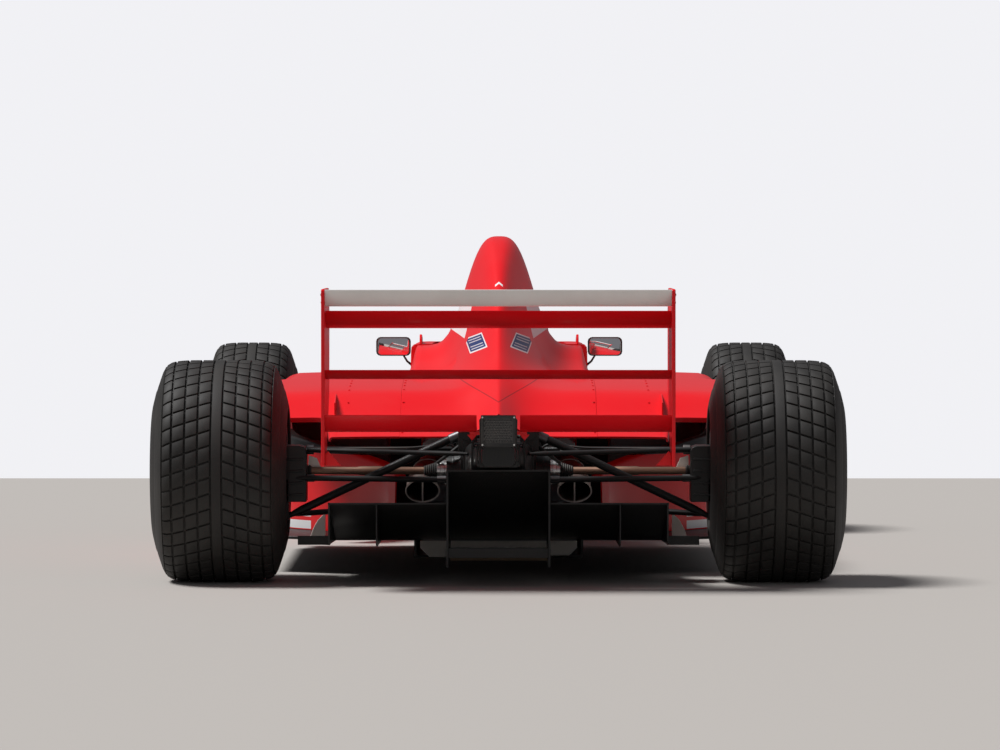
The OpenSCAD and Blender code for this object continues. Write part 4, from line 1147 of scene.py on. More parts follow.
@dataclass
class SurvivalCell(Assembly):
    """The driver's cell with its cockpit, nose, screen, mirrors and fins."""

    half: Table = (
        (-560, 240), (-100, 262), (-57, 270), (-50, 281), (300, 281), (640, 262), (900, 215), (1221, 175),
        (1500, 150),
    )
    low: Table = ((-560, 58.3), (500, 58.3), (800, 98), (1221, 205), (1500, 238))
    top: Table = (
        (-560, 505), (-300, 530), (-57, 545), (-50, 655), (300, 655), (600, 651), (780, 612), (1000, 572),
        (1221, 538), (1500, 495),
    )
    opening: Table = ((-60, 130), (-40, 150), (20, 215), (330, 207), (540, 168), (640, 90), (680, 60))
    wall: float = 12.0
    keel_w: float = 232.0

    def half_section(self, y: float, t: float) -> Flat:
        """Half section as (x, z), from the middle of the bottom to the middle of the top.

        Args:
            y: station along the car.
            t: distance inside the outer skin.

        Returns:
            Thirteen points.
        """
        w, z0, z1 = curve(self.half, y) - t, curve(self.low, y) + t, curve(self.top, y) - t
        r, rt = min(38, w / 3), min(26, w / 4)
        wl = min(w * 0.9, self.keel_w - t)
        e = min(curve(self.opening, y), w - rt - 4)
        return [
            (0, z0), (wl * 0.5, z0), (wl - r, z0), (wl - r * 0.29, z0 + r * 0.29), (wl, z0 + r),
            (w - 2, z0 + (z1 - z0) * 0.45), (w, z0 + (z1 - z0) * 0.7), (w, z1 - rt),
            (w - rt * 0.29, z1 - rt * 0.29), (w - rt, z1), (e, z1), (e * 0.5, z1 + 1), (0, z1 + 1.5),
        ]

    def ring(self, y: float, at: float, t: float, n: int = 3) -> list[Vector]:
        """Whole section at a station, rounded between its points."""
        h = self.half_section(y, t)
        pts = [(x, at, z) for x, z in h] + [(-x, at, z) for x, z in h[-2:0:-1]]
        return spline(pts, n, closed=True)

    def cell(self) -> None:
        """The pierced shell of the cell with its rounded cockpit rim."""
        keys = [-560, -300, -100, -57, -50, -40, 20, 160, 250, 330, 450, 540, 640, 700, 780, 900, 1060, 1221,
            1360, 1500]
        k = 3
        ys = refine(keys, k)
        n = 3
        outer = [self.ring(y, y, 0, n) for y in ys]
        # Inner skin: the seat back bulkhead stands just behind the opening
        inside = [-74 if y < -52 else -70 if y < -40 else 1488 if y >= 1500 else y for y in ys]
        inner = [self.ring(max(y, -49), q, self.wall, n) for y, q in zip(ys, inside)]
        j0, j1, i0, i1 = 5 * k, 12 * k, 10 * n, 14 * n
        cols = len(outer[0])
        shape = Shape()
        shape.add([p for r in outer for p in r] + [p for r in inner for p in r], [])
        b = cols * len(ys)
        for j in range(len(ys) - 1):
            for i in range(cols):
                q = (i + 1) % cols
                if j0 <= j < j1 and i0 <= i < i1:
                    continue
                shape.faces.append([j * cols + i, j * cols + q, (j + 1) * cols + q, (j + 1) * cols + i])
                shape.faces.append([b + (j + 1) * cols + i, b + (j + 1) * cols + q, b + j * cols + q,
                    b + j * cols + i])
        for j in range(j0, j1):
            for i in (i0, i1):
                shape.faces.append([j * cols + i, (j + 1) * cols + i, b + (j + 1) * cols + i, b + j * cols + i])
        for i in range(i0, i1):
            for j in (j0, j1):
                shape.faces.append([j * cols + i, j * cols + i + 1, b + j * cols + i + 1, b + j * cols + i])
        last = (len(ys) - 1) * cols
        shape.faces += [list(range(cols)), [last + i for i in range(cols)]]
        shape.faces += [[b + i for i in range(cols)], [b + last + i for i in range(cols)]]
        shape.fit("survival_cell", NOSE_PAINT, "red_paint", "monocoque", bevel=4, segments=3, angle=48)

    def nose(self) -> None:
        """The nose cone with a rounded tip."""
        half = ((1500, 150), (1739, 122), (1969, 100), (2047, 70), (2087, 34))
        top = ((1500, 495), (1739, 440), (1969, 392), (2047, 352), (2087, 326))
        low = ((1500, 238), (1739, 250), (1969, 262), (2047, 276), (2087, 296))
        rows = []
        for y in span(1500.3, 1969, 18) + [1990, 2010, 2030, 2047, 2060, 2072, 2081, 2087]:
            w, z0, z1 = curve(half, y), curve(low, y), curve(top, y)
            r, rt = min(38, w / 2.2), min(60, w / 2)
            h = [
                (0, z0), (w * 0.62, z0), (w - r * 0.29, z0 + r * 0.29), (w, z0 + r), (w, (z0 + z1) / 2),
                (w - 2, z1 - rt),
                (w - 2 - rt * 0.29, z1 - rt * 0.29), (w - rt, z1 - 3), (w * 0.25, z1), (0, z1 + 2),
            ]
            rows.append(spline([(x, y, z) for x, z in h] + [(-x, y, z) for x, z in h[-2:0:-1]], 3, closed=True))
        cone = Shape().grid(rows, wrap=True, caps=True)
        cone.fit("nose_cone", NOSE_PAINT, "red_paint", "nose_cone", bevel=2, angle=55)

    def collar(self) -> None:
        """The soft headrest that runs round the rear of the opening."""
        inside, head_y, z0, z1 = 135.0, 140.0, 577.0, 656.0
        rows = []
        ys = [246.0, 200.0, 160.0, 110.0, 60.0, 20.0]
        outer = [(curve(self.opening, y) - 2, y) for y in ys] + [(178, -18), (148, -37.5), (80, -38), (0, -38)]
        inner = [(inside, y) for y in (246.0, 200.0, 160.0, 140.0)]
        inner += [(inside * cos(a), head_y - inside * sin(a)) for a in (radians(k)
            for k in (15, 33, 50, 66, 78, 90))]
        for (xo, yo), (xi, yi) in zip(outer, inner):
            ring = []
            for u, v in ((0, 0), (0, 0.6), (0.05, 0.9), (0.25, 1.0), (0.5, 1.03), (0.75, 0.98), (0.95, 0.84),
                (1, 0.5), (1, 0)):
                ring.append((xo + (xi - xo) * u, yo + (yi - yo) * u, z0 + (z1 - z0) * min(v, 1.0)))
            rows.append(ring)
        rows += [[(-x, y, z) for x, y, z in r] for r in rows[-2::-1]]
        fine = [list(r) for r in zip(*[spline(col, 3) for col in zip(*rows)])]
        shape = Shape().grid(fine, wrap=True, caps=True)
        obj = soften(shape.piece("headrest_collar", FOAM, bevel=5, segments=3, angle=50))
        settle(obj, "cockpit_foam", "cockpit_collar")

    def seat(self) -> None:
        """The moulded seat, its thin padding and the harness."""
        foot = 70.6
        line = [(430, 58), (330, 16), (200, 0), (90, 20), (20, 98), (-8, 208), (-24, 328), (-34, 428)]
        pts = spline([(0, y, z + foot) for y, z in line], 5)

        def row(i: int, lift: float, edge: float) -> list[Vector]:
            """One crosswise row of the bucket."""
            d = (pts[min(i + 1, len(pts) - 1)] - pts[max(i - 1, 0)]).normalized()
            up = Vector((0, d.z, -d.y))
            out = []
            for a in span(-1, 1, 18):
                rise = 90 * abs(a) ** 4 * edge + lift
                out.append(Vector((a * (168 - lift * 0.9) * (0.99 if edge == 1 else 0.86), pts[i].y,
                    pts[i].z)) + up * rise)
            return out

        n = range(len(pts))
        shell = Shape().panel([row(i, 0, 1) for i in n], [row(i, 8, 1) for i in n]).piece("seat_shell", CARBON,
            bevel=1.5)
        pad = Shape()
        m = range(3, len(pts) - 3)
        pad.panel([row(i, 8.5, 0.55) for i in m], [row(i, 17 + 3 * sin(i * 0.9), 0.6) for i in m])
        liner = soften(pad.piece("seat_liner", FOAM, bevel=3, segments=3, angle=60), voxel=0.005, cap=0.004)
        belts = Shape()
        for x in (-70, 70):
            path = spline([(x * 0.8, -20, 470), (x, 6, 440), (x, 22, 340), (x * 0.8, 46, 220),
                (x * 0.3, 110, 128)], 6)
            rows = [[p + Vector((s * 24, 0, 0)) for s in (-1, 1)] for p in path]
            thick = [[p + Vector((0, 2.2, 1.2)) for p in r] for r in rows]
            belts.panel(rows, thick)
        for x in (-1, 1):
            path = spline([(x * 150, 96, 150), (x * 110, 108, 116), (x * 40, 116, 122)], 6)
            belts.panel([[p + Vector((0, s * 22, 0)) for s in (-1, 1)] for p in path],
                        [[p + Vector((0, s * 22, 2.5)) for s in (-1, 1)] for p in path])
        belts.tube([(0, 116, 118), (0, 116, 138)], 30, 24)
        harness = belts.piece("harness", BELT, bevel=0.8)
        settle(shell, "seat_shell", "seat")
        settle(liner, "cockpit_foam")
        settle(harness, "cockpit_foam")

    def screen(self) -> None:
        """The small clear deflector ahead of the opening."""
        rows = []
        for k in span(0, 1, 6):
            row = []
            for a in (radians(v) for v in span(-75, 75, 24)):
                r = 1 - 0.06 * k
                base = curve(self.top, 520 + 190 * cos(a)) + 2.6
                z = base * (1 - k) + k * (CAR.cockpit_h + 50 - 8 * abs(sin(a)))
                row.append((170 * r * sin(a) / sin(radians(75)), 520 + 190 * cos(a) * r, z))
            rows.append(row)
        Shape().grid(rows).fit("wind_deflector", GLASS, "clear_screen", "windscreen", thick=3)

    def fins_and_mirrors(self) -> None:
        """Upright fins on the cockpit sides, and the mirrors with their glass."""
        h, w = CAR.cockpit_h, CAR.cockpit_w
        outline = [(-30, h), (210, h), (190, h + 8), (150, h + 20), (90, h + 27), (20, h + 30), (-10, h + 30),
            (-24, h + 20)]
        fin = Shape().plate(outline, w - 34, w - 27).both()
        fin.fit("cockpit_fins", RED_PAINT, "red_paint", "side_fins", bevel=2, segments=3)
        x0, x1, z0, z1, y = w + 6, w + 118, h - 44, h + 17, 250.0
        corner = rounded((x0, z0), (x1, z1), 14)
        mx, mz = (x0 + x1) / 2, (z0 + z1) / 2

        def ring(yy: float, s: float) -> Points:
            """Housing section at one station."""
            return [(mx + (px - mx) * s, yy, mz + (pz - mz) * s) for px, pz in corner]

        rings = [ring(y + 5, 0.9), ring(y, 0.92), ring(y, 1.0), ring(y + 22, 1.0), ring(y + 44, 0.9),
            ring(y + 60, 0.68), ring(y + 70, 0.4)]
        shape = Shape().grid(rings, wrap=True, caps=True)
        shape.tube([(w - 2, y + 30, h - 78), (w + 18, y + 31, h - 62), (w + 34, y + 32, h - 36)], [9, 7, 6],
            14, flat=0.5)
        shape.both().fit("mirror_housings", GLOSS_CARBON, "carbon", "mirrors", bevel=0.8, angle=50)
        glass = Shape().grid([ring(y + 4.9, 0.9), ring(y + 4.0, 0.9), ring(y + 3.6, 0.86)], wrap=True,
            caps=True).both()
        glass.fit("mirror_glasses", MIRROR, "carbon")

    def wheel(self) -> None:
        """The steering wheel with its flat bottom, grips, knobs and column."""
        foot = Vector((0, 700, 452))
        tilt = radians(20)
        axis = Vector((0, -cos(tilt), sin(tilt)))
        up = Vector((0, sin(tilt), cos(tilt)))
        right = Vector((1, 0, 0))

        def at(u: float, v: float, d: float) -> Vector:
            """Point at u across, v up and d along the column."""
            return foot + right * u + up * v + axis * d

        rim = Shape()
        pts = []
        for a in circle(48):
            r = 120 * (1 - 0.10 * max(0.0, -sin(a)) ** 3)
            pts.append(at(r * cos(a), r * sin(a), 330))
        rows = []
        for i, p in enumerate(pts):
            d = (pts[(i + 1) % 48] - pts[i - 1]).normalized()
            side = d.cross(axis).normalized()
            rad = 12.5 + 1.2 * cos(4 * pi * i / 48) ** 8
            rows.append([p + (side * cos(b) + axis * sin(b)) * rad for b in circle(14)])
        rim.grid(rows + [rows[0]], wrap=True)
        grip = rim.piece("steering_rim", GRIP)
        hub = Shape()
        plate = [(-104, -16), (-60, -40), (60, -40), (104, -16), (104, 22), (60, 46), (-60, 46), (-104, 22)]
        hub.grid([[at(u, v, d) for u, v in plate] for d in (318, 330)], wrap=True, caps=True)
        hub.tube([at(0, 0, -15), at(0, 0, 320)], 12, 20)
        hub.tube([at(0, 0, 286), at(0, 0, 319)], 30, 24)
        for u, v in ((-78, 4), (-52, 24), (52, 24), (78, 4), (-52, -22), (52, -22)):
            hub.tube([at(u, v, 329), at(u, v, 338)], 8, 12)
        body = hub.piece("steering_boss", GLOSS_CARBON, bevel=1.5)
        knobs = self.trees.fasteners(
            "steering_knobs", [(at(u, v, 336), axis) for u, v in ((-30, 8), (0, 26), (30, 8), (-20, -24),
                (20, -24))], KNOB, 7, 5
        )
        settle(grip, "wheel_grip", "steering_wheel", body=Body.STEERING_WHEEL)
        for made in (body, knobs):
            settle(made, "wheel_grip", body=Body.STEERING_WHEEL)

    def dash(self) -> None:
        """The front bulkhead with the column's bearing, a blank display and the rack's housing."""
        shape = Shape()
        h = self.half_section(655, self.wall + 0.9)
        ring = [(x, z) for x, z in h] + [(-x, z) for x, z in h[-2:0:-1]]
        ring = [(x, max(z, 300)) for x, z in ring]
        shape.prism(ring, 641, 655, axis="y")
        shape.box((-62, 628, 566), (62, 642, 622))
        shape.tube([(0, 677, 458), (0, 617, 473)], 21, 24)
        w = curve(self.half, 1306) + 6
        shape.tube([(-w, 1306, 358), (w, 1306, 358)], 15, 24)
        shape.fit("dash_bulkhead", CARBON, "carbon", "dashboard", bevel=1.2)

    def build(self) -> None:
        """Makes and fixes every piece of the cell."""
        for make in (self.cell, self.nose, self.collar, self.seat, self.screen, self.fins_and_mirrors,
            self.wheel):
            make()
        self.dash()


# ---------------- engine cover and sidepods


@dataclass
class Bodywork(Assembly):
    """Engine cover, air intake, sidepods and the walls ahead of the rear tyres."""

    deck: Table = (
        (-1480, 412), (-1399, 432), (-1312, 468), (-1150, 538), (-900, 556), (-600, 566), (-200, 572),
        (160, 558),
    )
    ridge: Table = (
        (-1480, 478), (-1400, 506), (-1200, 578), (-900, 702), (-600, 836), (-350, 940), (-180, 992),
        (-110, 999), (-60, 994),
    )
    spine_w: Table = ((-1480, 62), (-1200, 84), (-800, 104), (-400, 128), (-150, 147), (-60, 147))
    spine_p: Table = ((-1480, 1.4), (-1000, 1.6), (-500, 2.2), (-150, 3.0), (-60, 3.1))
    shelf: Table = ((-480, 0), (-300, 34), (-140, 76), (-60, 83))
    edge: Table = ((-1480, 497), (-1320, 512), (-1312, 690), (-700, 690), (-200, 690), (160, 668))
    skin: float = 6.0

    def deck_height(self, x: float, y: float) -> float:
        """Height of the flat deck."""
        return curve(self.deck, y) - 8 * (max(0.0, abs(x) - CAR.seam_x) / 400) ** 2

    def height(self, x: float, y: float) -> float:
        """Height of the engine cover: deck, shelf behind the cockpit and spine."""
        d = self.deck_height(x, y)
        shelf = curve(self.shelf, y) * (1 - smooth((abs(x) - CAR.cockpit_w + 22) / 26)) if y > -480 else 0.0
        w, p = curve(self.spine_w, y) * 0.85, curve(self.spine_p, y)
        return d + shelf + (curve(self.ridge, y) - d - shelf) * exp(-((abs(x) / w) ** p))

    def cover(self) -> None:
        """The engine cover from the airbox to the gearbox."""
        xs = refine([0, 10, 22, 36, 52, 70, 90, 112, 136, 162, 195, 228, 259, 269, 277, 290], 2)
        xs = [-x for x in reversed(xs[1:])] + xs
        ys = span(-1480, -560, 38) + span(-536, -84, 20) + [-72, -64, -60]
        rows = [[(x, y, self.height(x, y)) for x in xs] for y in ys]
        Shape().grid(rows).fit("engine_cover", COVER_PAINT, "red_paint", "engine_cover", bevel=1.6, angle=60,
            thick=self.skin)

    def intake(self) -> None:
        """The lip and duct behind the airbox mouth."""
        rows = [(-62, 88, 96, 868), (-65, 84, 92, 868), (-160, 80, 90, 862), (-300, 70, 76, 818),
            (-440, 62, 60, 750), (-555, 60, 52, 690)]

        def ring(r: tuple[float, float, float, float], t: float) -> Points:
            """Duct section, t inside its outer wall."""
            return [
                ((r[1] - t) * cos(a) * (1 - 0.28 * sin(a)), r[0], r[3] + (r[2] - t) * sin(a))
                for a in circle(40)
            ]

        shape = Shape()
        loop = [ring(r, 0) for r in rows] + [ring(r, 5) for r in reversed(rows)]
        shape.grid(loop + [loop[0]], wrap=True)
        lip = []
        mouth = ring(rows[1], 0)
        for x, _, z in mouth:
            a = atan2(z - 850, x)
            r = 10.0
            while r < 320:
                px, pz = r * cos(a), 850 + r * sin(a)
                if pz > self.height(px, -64) - 8 or pz < 626:
                    break
                r += 2
            lip.append((r * cos(a), -67, max(626, 850 + r * sin(a))))
        front = [(x, -61, z) for x, _, z in lip]
        shape.grid([mouth, [(x, -62, z) for x, _, z in mouth], front, lip, mouth], wrap=True)
        shape.fit("intake_duct", CARBON, "carbon", "intake_duct")

    def pods(self) -> None:
        """Both sidepods: deck, rounded shoulder and flank, with an open hot air outlet."""
        keys = [-1480, -1419, -1320, -1312, *span(-1252, -680, 6), -620, *span(-560, -60, 6), -48, 40, 110,
            140, 160]
        rows = []
        for y in refine(keys, 3):
            flank = smooth((y + 680) / 60)
            xo = curve(self.edge, y)
            zo = self.deck_height(xo, y)
            r = 10 + 48 * flank
            zf = flank * (CAR.floor_top + 0.3) + (1 - flank) * (zo - 14)
            xi = (CAR.cockpit_w if y > -59 else CAR.seam_x) + 0.3
            row = [(x, y, self.deck_height(x, y)) for x in span(xi, xo - r, 16)]
            row += [(xo - r + r * cos(a), y, zo - r + r * sin(a))
                for a in (radians(k) for k in span(80, 10, 7))]
            row += [(xo - 10 * flank * (zo - r - z) / 500, y, z) for z in span(zo - r, zf, 8)]
            rows.append(row)
        Shape().grid(rows).both().fit("sidepods", POD_PAINT, "red_paint", "sidepods", bevel=1.6, angle=60,
            thick=self.skin)

    def coke(self) -> None:
        """Low walls that narrow the body ahead of the rear tyres."""
        plan = ((-1380, 300), (-1250, 335), (-1100, 430), (-950, 555), (-800, 648), (-628, 676))
        top = ((-1380, 285), (-1000, 362), (-800, 392), (-628, 404))
        rows = []
        for y in span(-1348, -628, 40):
            h = curve(top, y)
            rows.append([(curve(plan, y) - 6 * ((z - 100) / 250) ** 2, y, z) for z in span(108.3, h - 12, 10)])
            x = curve(plan, y) - 6 * ((h - 112) / 250) ** 2
            rows[-1] += [(x - 3, y, h - 5), (x - 12, y, h), (x - 30, y, h + 2)]
        Shape().grid(rows).both().fit("coke_panels", FLANK_PAINT, "red_paint", "coke_panels", bevel=1.4,
            angle=60, thick=5)

    def radiators(self) -> None:
        """Leaning radiator cores with end tanks."""
        shape = Shape()
        turn = Matrix.Rotation(radians(24), 4, "Z") @ Matrix.Rotation(radians(18), 4, "X")
        centre = Vector((478, -330, 305.6))
        for lo, hi in (((-150, -23, -196), (150, 23, 196)), ((-163, -26, -199), (-148, 26, 199)),
            ((148, -26, -199), (163, 26, 199))):
            part = Shape().box(lo, hi)
            shape.add([centre + (turn @ p) for p in part.points], part.faces)
        shape.both().fit("radiators", CORE, "radiator_core", "radiators", bevel=3)

    def baffles(self) -> None:
        """Dark walls that lead the air from the radiators past the engine; seen through the outlets, their
        black is also painted shade of the sidepods' insides.
        """
        shape = Shape().prism([(232, 109), (336, 109), (336, 500), (300, 548), (232, 540)], -556, -552,
            axis="y")
        shape.prism([(650, 109), (676, 109), (672, 500), (650, 500)], -556, -552, axis="y")
        shape.both().fit("radiator_baffles", CARBON, "carbon", bevel=1)

    def build(self) -> None:
        """Makes and fixes every piece of the bodywork."""
        for make in (self.baffles, self.cover, self.intake, self.pods, self.coke, self.radiators):
            make()
        fence = Shape().plate([(-1311, 470), (-1311, 506), (-1240, 523), (-1180, 529), (-1220, 512)], 483,
            487).both()
        fence.fit("deck_fences", RED_PAINT, "red_paint", bevel=1.4)
        spots = []
        for y in span(-1440, -140, 13):
            for s in (-1, 1):
                z = self.height(s * 283, y) + 0.6
                spots.append(((s * 283, y, z), (0, 0, 1)))
                if -1270 < y < -700:
                    spots.append(((s * 447, y, self.deck_height(447, y) + 0.4), (0, 0, 1)))
        settle(self.trees.fasteners("panel_fasteners", spots, RED_PAINT, 3.6, 1.0), "steel")


# ---------------- floor and diffuser


@dataclass
class Underfloor(Assembly):
    """Flat floor, plank, diffuser and the vanes behind the front wheels."""

    step: float = 100.0
    plane: float = 50.0
    tunnel: float = 147.0
    width: float = 485.0
    rear: float = -1950.0

    @staticmethod
    def rising(y0: float, z0: float, y1: float, z1: float, n: int = 18) -> Flat:
        """Line of a diffuser roof that rises ever faster."""
        return [(y0 + (y1 - y0) * k, z0 + (z1 - z0) * k**1.35) for k in span(0, 1, n)]

    def floor(self) -> None:
        """Step planes, reference plane and the walls between them."""
        shape = Shape()
        side = [
            (242, 560), (248, 250), (300, 172), (400, 148), (520, 120), (600, 86), (660, 46), (690, 6),
            (698, -60),
            (698, -1232), (560, -1312), (485, -1350), (242, -1350),
        ]
        shape.prism(side, self.step, self.step + 8).both()
        tray = [(0, 700), (60, 699), (110, 692), (150, 672), (190, 634), (226, 590), (246, 545), (250, 500),
            (250, -1350), (0, -1350)]
        tray = tray + [(-x, y) for x, y in reversed(tray[1:-1])]
        shape.prism(tray, self.plane, self.plane + 8)
        wall = Shape().box((242, -1350, self.plane), (250, 560, self.step + 8)).both()
        shape.add(wall.points, wall.faces)
        shape.fit("floor_panels", CARBON, "carbon", "floor", bevel=1.5)

    def skid(self) -> None:
        """Pale plates that close the rear of the step, beside the middle tunnel."""
        outline = [(-232, 99), (-232, 78), (-205, 51), (205, 51), (232, 78), (232, 99)]
        plate = Shape().prism(outline, -1350, -1344.2, axis="y")
        plate.prism([(513, 108.4), (558, 108.4), (550, 132), (536, 158), (513, 180)], -1311, -1307,
            axis="y").both()
        plate.fit("step_end_plates", PALE, "carbon", bevel=1)

    def diffuser(self) -> None:
        """Side channels, strakes and the middle tunnel."""
        front = -1350.3
        side = self.rising(front, 108, self.rear, 240)
        mid = self.rising(front, 108, self.rear - 30, 335)
        shape = Shape()
        shape.plate(side + [(y, z - 5) for y, z in reversed(side)], self.tunnel + 1, self.width)
        shape.plate(mid + [(y, z - 5) for y, z in reversed(mid)], 0, self.tunnel - 5)
        shape.plate(side + [(self.rear, 129), (self.rear + 60, 119), (front, 100)], self.width - 5, self.width)
        shape.plate(side + [(self.rear, 120), (self.rear + 60, 112), (front, 100)], 345, 349)
        shape.plate(mid + [(self.rear - 30, 58), (self.rear + 40, 54), (front, 52)], self.tunnel - 5,
            self.tunnel + 1)
        shape.box((0, self.rear - 24, 84), (self.tunnel - 5, self.rear + 6, 112))
        # Foot plates outboard of the side channels
        shape.box((self.width, -1770, 110), (578, -1600, 114))
        shape.box((self.width, -1770, 110), (578, -1766, 136))
        shape.both().fit("diffuser", CARBON, "carbon", "diffuser", bevel=1.2)

    def vanes(self) -> None:
        """Curved vanes ahead of the sidepods, and their stays."""
        line = spline([(350, 740, 0), (372, 640, 0), (408, 520, 0), (470, 400, 0), (540, 310, 0)], 6)
        rows = []
        for p in line:
            row = []
            for z in span(self.step - 38, 330, 12):
                k = (z - self.step) / 240
                row.append((p.x + 14 * k, p.y - 26 * k, z))
            rows.append(row)
        shape = Shape().panel(rows, [[(x - 5, y, z) for x, y, z in r] for r in rows])
        shape.box((250.5, 508, 70), (408, 528, 78))
        shape.both().fit("side_vanes", RED_PAINT, "red_paint", "bargeboards", bevel=1.6)

    def build(self) -> None:
        """Makes and fixes every piece of the floor."""
        for make in (self.floor, self.skid, self.diffuser, self.vanes):
            make()
        plank = Shape().prism([(-150, -1350), (-150, 660), (-130, 680), (130, 680), (150, 660), (150, -1350)],
            40, 50)
        plank.fit("plank", WOOD, "plank_wood", "plank", bevel=2)
        spots = [((x, y, 40.2), (0, 0, -1)) for y in span(-1300, 620, 8) for x in (-120, 120)]
        settle(self.trees.fasteners("plank_bolts", spots, BRIGHT_METAL, 11, 1.2), "steel")


# ---------------- gearbox, exhausts and rear light


@dataclass
class RearEnd(Assembly):
    """Engine, gearbox with its tail, tail pipes and the rain light."""

    light: float = 408.0
    tail: float = -2137.0

    def gearbox(self) -> None:
        """Casing that narrows to the tail, with ribs, flanges and rocker blocks."""
        keys = [(-1126.3, 150, 118, 400), (-1429, 122, 170, 404), (-1719, 110, 262, 404),
            (-1919, 62, 345, 404), (-2136, 46, 350, 407.7)]
        rows = []
        for (y0, w0, a0, b0), (y1, w1, a1, b1) in zip(keys, keys[1:]):
            for k in (0, 0.25, 0.5, 0.75):
                y, w, a, b = (p + (q - p) * k for p, q in ((y0, y1), (w0, w1), (a0, a1), (b0, b1)))
                rows.append((y, w, a, b))
        rows.append(keys[-1])
        shape = Shape()
        loops = []
        for y, w, a, b in rows:
            r = min(26, w * 0.3)
            loops.append([(x, y, z) for x, z in rounded((-w, a), (w, b), r, 3)])
        shape.grid(loops, wrap=True, caps=True)
        for y, w, a, b in rows[1:-1:2]:
            shape.box((-w - 4, y - 3, a - 3), (w + 4, y + 3, b + 3))
        for s in (-1, 1):
            shape.tube([(s * 60, -1679, 320), (s * 128, -1679, 320), (s * 132, -1679, 320),
                (s * 150, -1679, 320)], [60, 50, 46, 44], 36)
            shape.box((s * 62, -1771, 380), (s * 116, -1707, 448))
            shape.tube([(s * 89, -1775, 430), (s * 89, -1700, 430)], 20, 24)
        shape.fit("gearbox_casing", CARBON, "carbon", "gearbox", bevel=2)

    def pipes(self) -> None:
        """Tail pipes with flared oval mouths, and the dark bore inside them: soot, with painted shade of the
        pipes' depth.
        """
        line = [(200, -1126.3, 322), (206, -1176, 312), (215, -1236, 296), (220, -1306, 281),
            (221, -1479, 272), (221, -1590, 260.4), (221, -1613, 258)]
        sizes = [(36, 34), (39, 33), (45, 32.5), (48, 32), (48, 32), (48, 32), (50.5, 34)]
        pts = spline(line, 3)
        wide = spline([(a, b, 0) for a, b in sizes], 3)

        def ring(i: int, t: float) -> Points:
            """Pipe section, t inside its outer wall."""
            p, (a, b, _) = pts[i], wide[i]
            return [(p.x + (a - t) * cos(q), p.y, p.z + (b - t) * sin(q)) for q in circle(36)]

        n = len(pts)
        loop = [ring(i, 0) for i in range(n)] + [ring(i, 3.0) for i in reversed(range(n))]
        outer = Shape().grid(loop + [loop[0]], wrap=True)
        for i in (5, 11, 15):
            p, (a, b, _) = pts[i], wide[i]
            band = [[(p.x + (a + t) * cos(q), p.y + d, p.z + (b + t) * sin(q)) for q in circle(36)]
                    for d, t in ((-5, 0), (-5, 2.2), (5, 2.2), (5, 0))]
            outer.grid(band + [band[0]], wrap=True)
        # Upright stay across the mouth
        outer.box((219, -1608, 228), (223, -1596, 288))
        # A near-black plug fills each bore a little way in: soot, with painted shade of the pipe's depth
        bore = Shape().grid([ring(n - 9, 3.4), ring(n - 10, 3.4)], wrap=True, caps=True)
        outer.both().fit("tail_pipes", PIPE, "exhaust_steel", "exhausts", angle=45)
        bore.both().fit("pipe_soot", SOOT_AND_SHADE, "exhaust_steel")

    def lamp(self) -> None:
        """The rain light: housing, lens cells, clear face and corner screws."""
        y0, z = -2171.0, self.light
        shape = Shape().box((-49, y0 + 6, z), (49, y0 + 54, z + 87))
        for x0, x1, a, b in ((-49, -42, z, z + 87), (42, 49, z, z + 87), (-42, 42, z, z + 8),
            (-42, 42, z + 79, z + 87)):
            shape.box((x0, y0, a), (x1, y0 + 6, b))
        for s in (-1, 1):
            shape.prism([(s * 49, z + 2), (s * 49, z + 80), (s * 54, z + 74), (s * 52, z + 10)], y0 + 12,
                y0 + 50, axis="y")
        shape.fit("rain_light_housing", PLASTIC, "light_lens", "rear_light", bevel=1.2)
        seed = bpy.data.meshes.new("cells")
        spots = []
        for j in range(9):
            for i in range(10):
                x, zz = -37 + 8 * i + (4 if j % 2 else 0), z + 14 + 7.3 * j
                if abs(x) < 39:
                    spots.append((x * MM, (y0 + 4) * MM, zz * MM))
        seed.from_pydata(spots, [], [])
        cells = self.trees.cells.run(seed, "rain_light_cells", LENS, Cell=0.0042, Depth=0.0022)
        settle(cells, "light_lens")
        Shape().box((-42, y0 + 5, z + 8), (42, y0 + 6.4, z + 79)).fit("rain_light_lens", LENS, "light_lens")
        corners = [((s * 44.5, y0 - 0.4, q), (0, -1, 0)) for s in (-1, 1) for q in (z + 5, z + 82)]
        settle(self.trees.fasteners("rain_light_screws", corners, BRIGHT_METAL, 2.6, 1.2), "steel")

    def lines(self) -> None:
        """Hydraulic lines and hoses over the gearbox."""
        shape = Shape()
        for s in (-1, 1):
            shape.tube(spline([(s * 30, -1500, 406), (s * 44, -1600, 424), (s * 96, -1690, 404),
                (s * 140, -1720, 372), (s * 176, -1700, 344)], 6), 5, 10)
            shape.tube(spline([(s * 12, -1480, 410), (s * 18, -1650, 428), (s * 26, -1850, 418),
                (s * 20, -2060, 412)], 6), 4.2, 10)
            shape.tube(spline([(s * 118, -1640, 372), (s * 150, -1660, 396), (s * 250, -1672, 386),
                (s * 420, -1684, 384), (s * 545, -1690, 378)], 6), 3.6, 10)
        shape.fit("hydraulic_lines", BOOT, "carbon")

    def build(self) -> None:
        """Makes and fixes every piece of the rear end."""
        for make in (self.gearbox, self.pipes, self.lines):
            make()
        block = Shape().box((-230, -1126, 58.3), (230, -560.3, 300))
        for s in (-1, 1):
            block.prism([(s * 20, 300), (s * 228, 300), (s * 228, 380), (s * 150, 445), (s * 60, 445)], -1120,
                -566, axis="y")
        block.fit("engine_block", CAST, "cast_metal", "engine", bevel=4)
        self.lamp()
        spots = []
        for s in (-1, 1):
            for a in circle(8):
                spots.append(((s * 151, -1679 + 38 * cos(a), 320 + 38 * sin(a)), (s, 0, 0)))
        settle(self.trees.fasteners("flange_bolts", spots, BRIGHT_METAL, 3.4, 3), "steel")


# ---------------- suspension


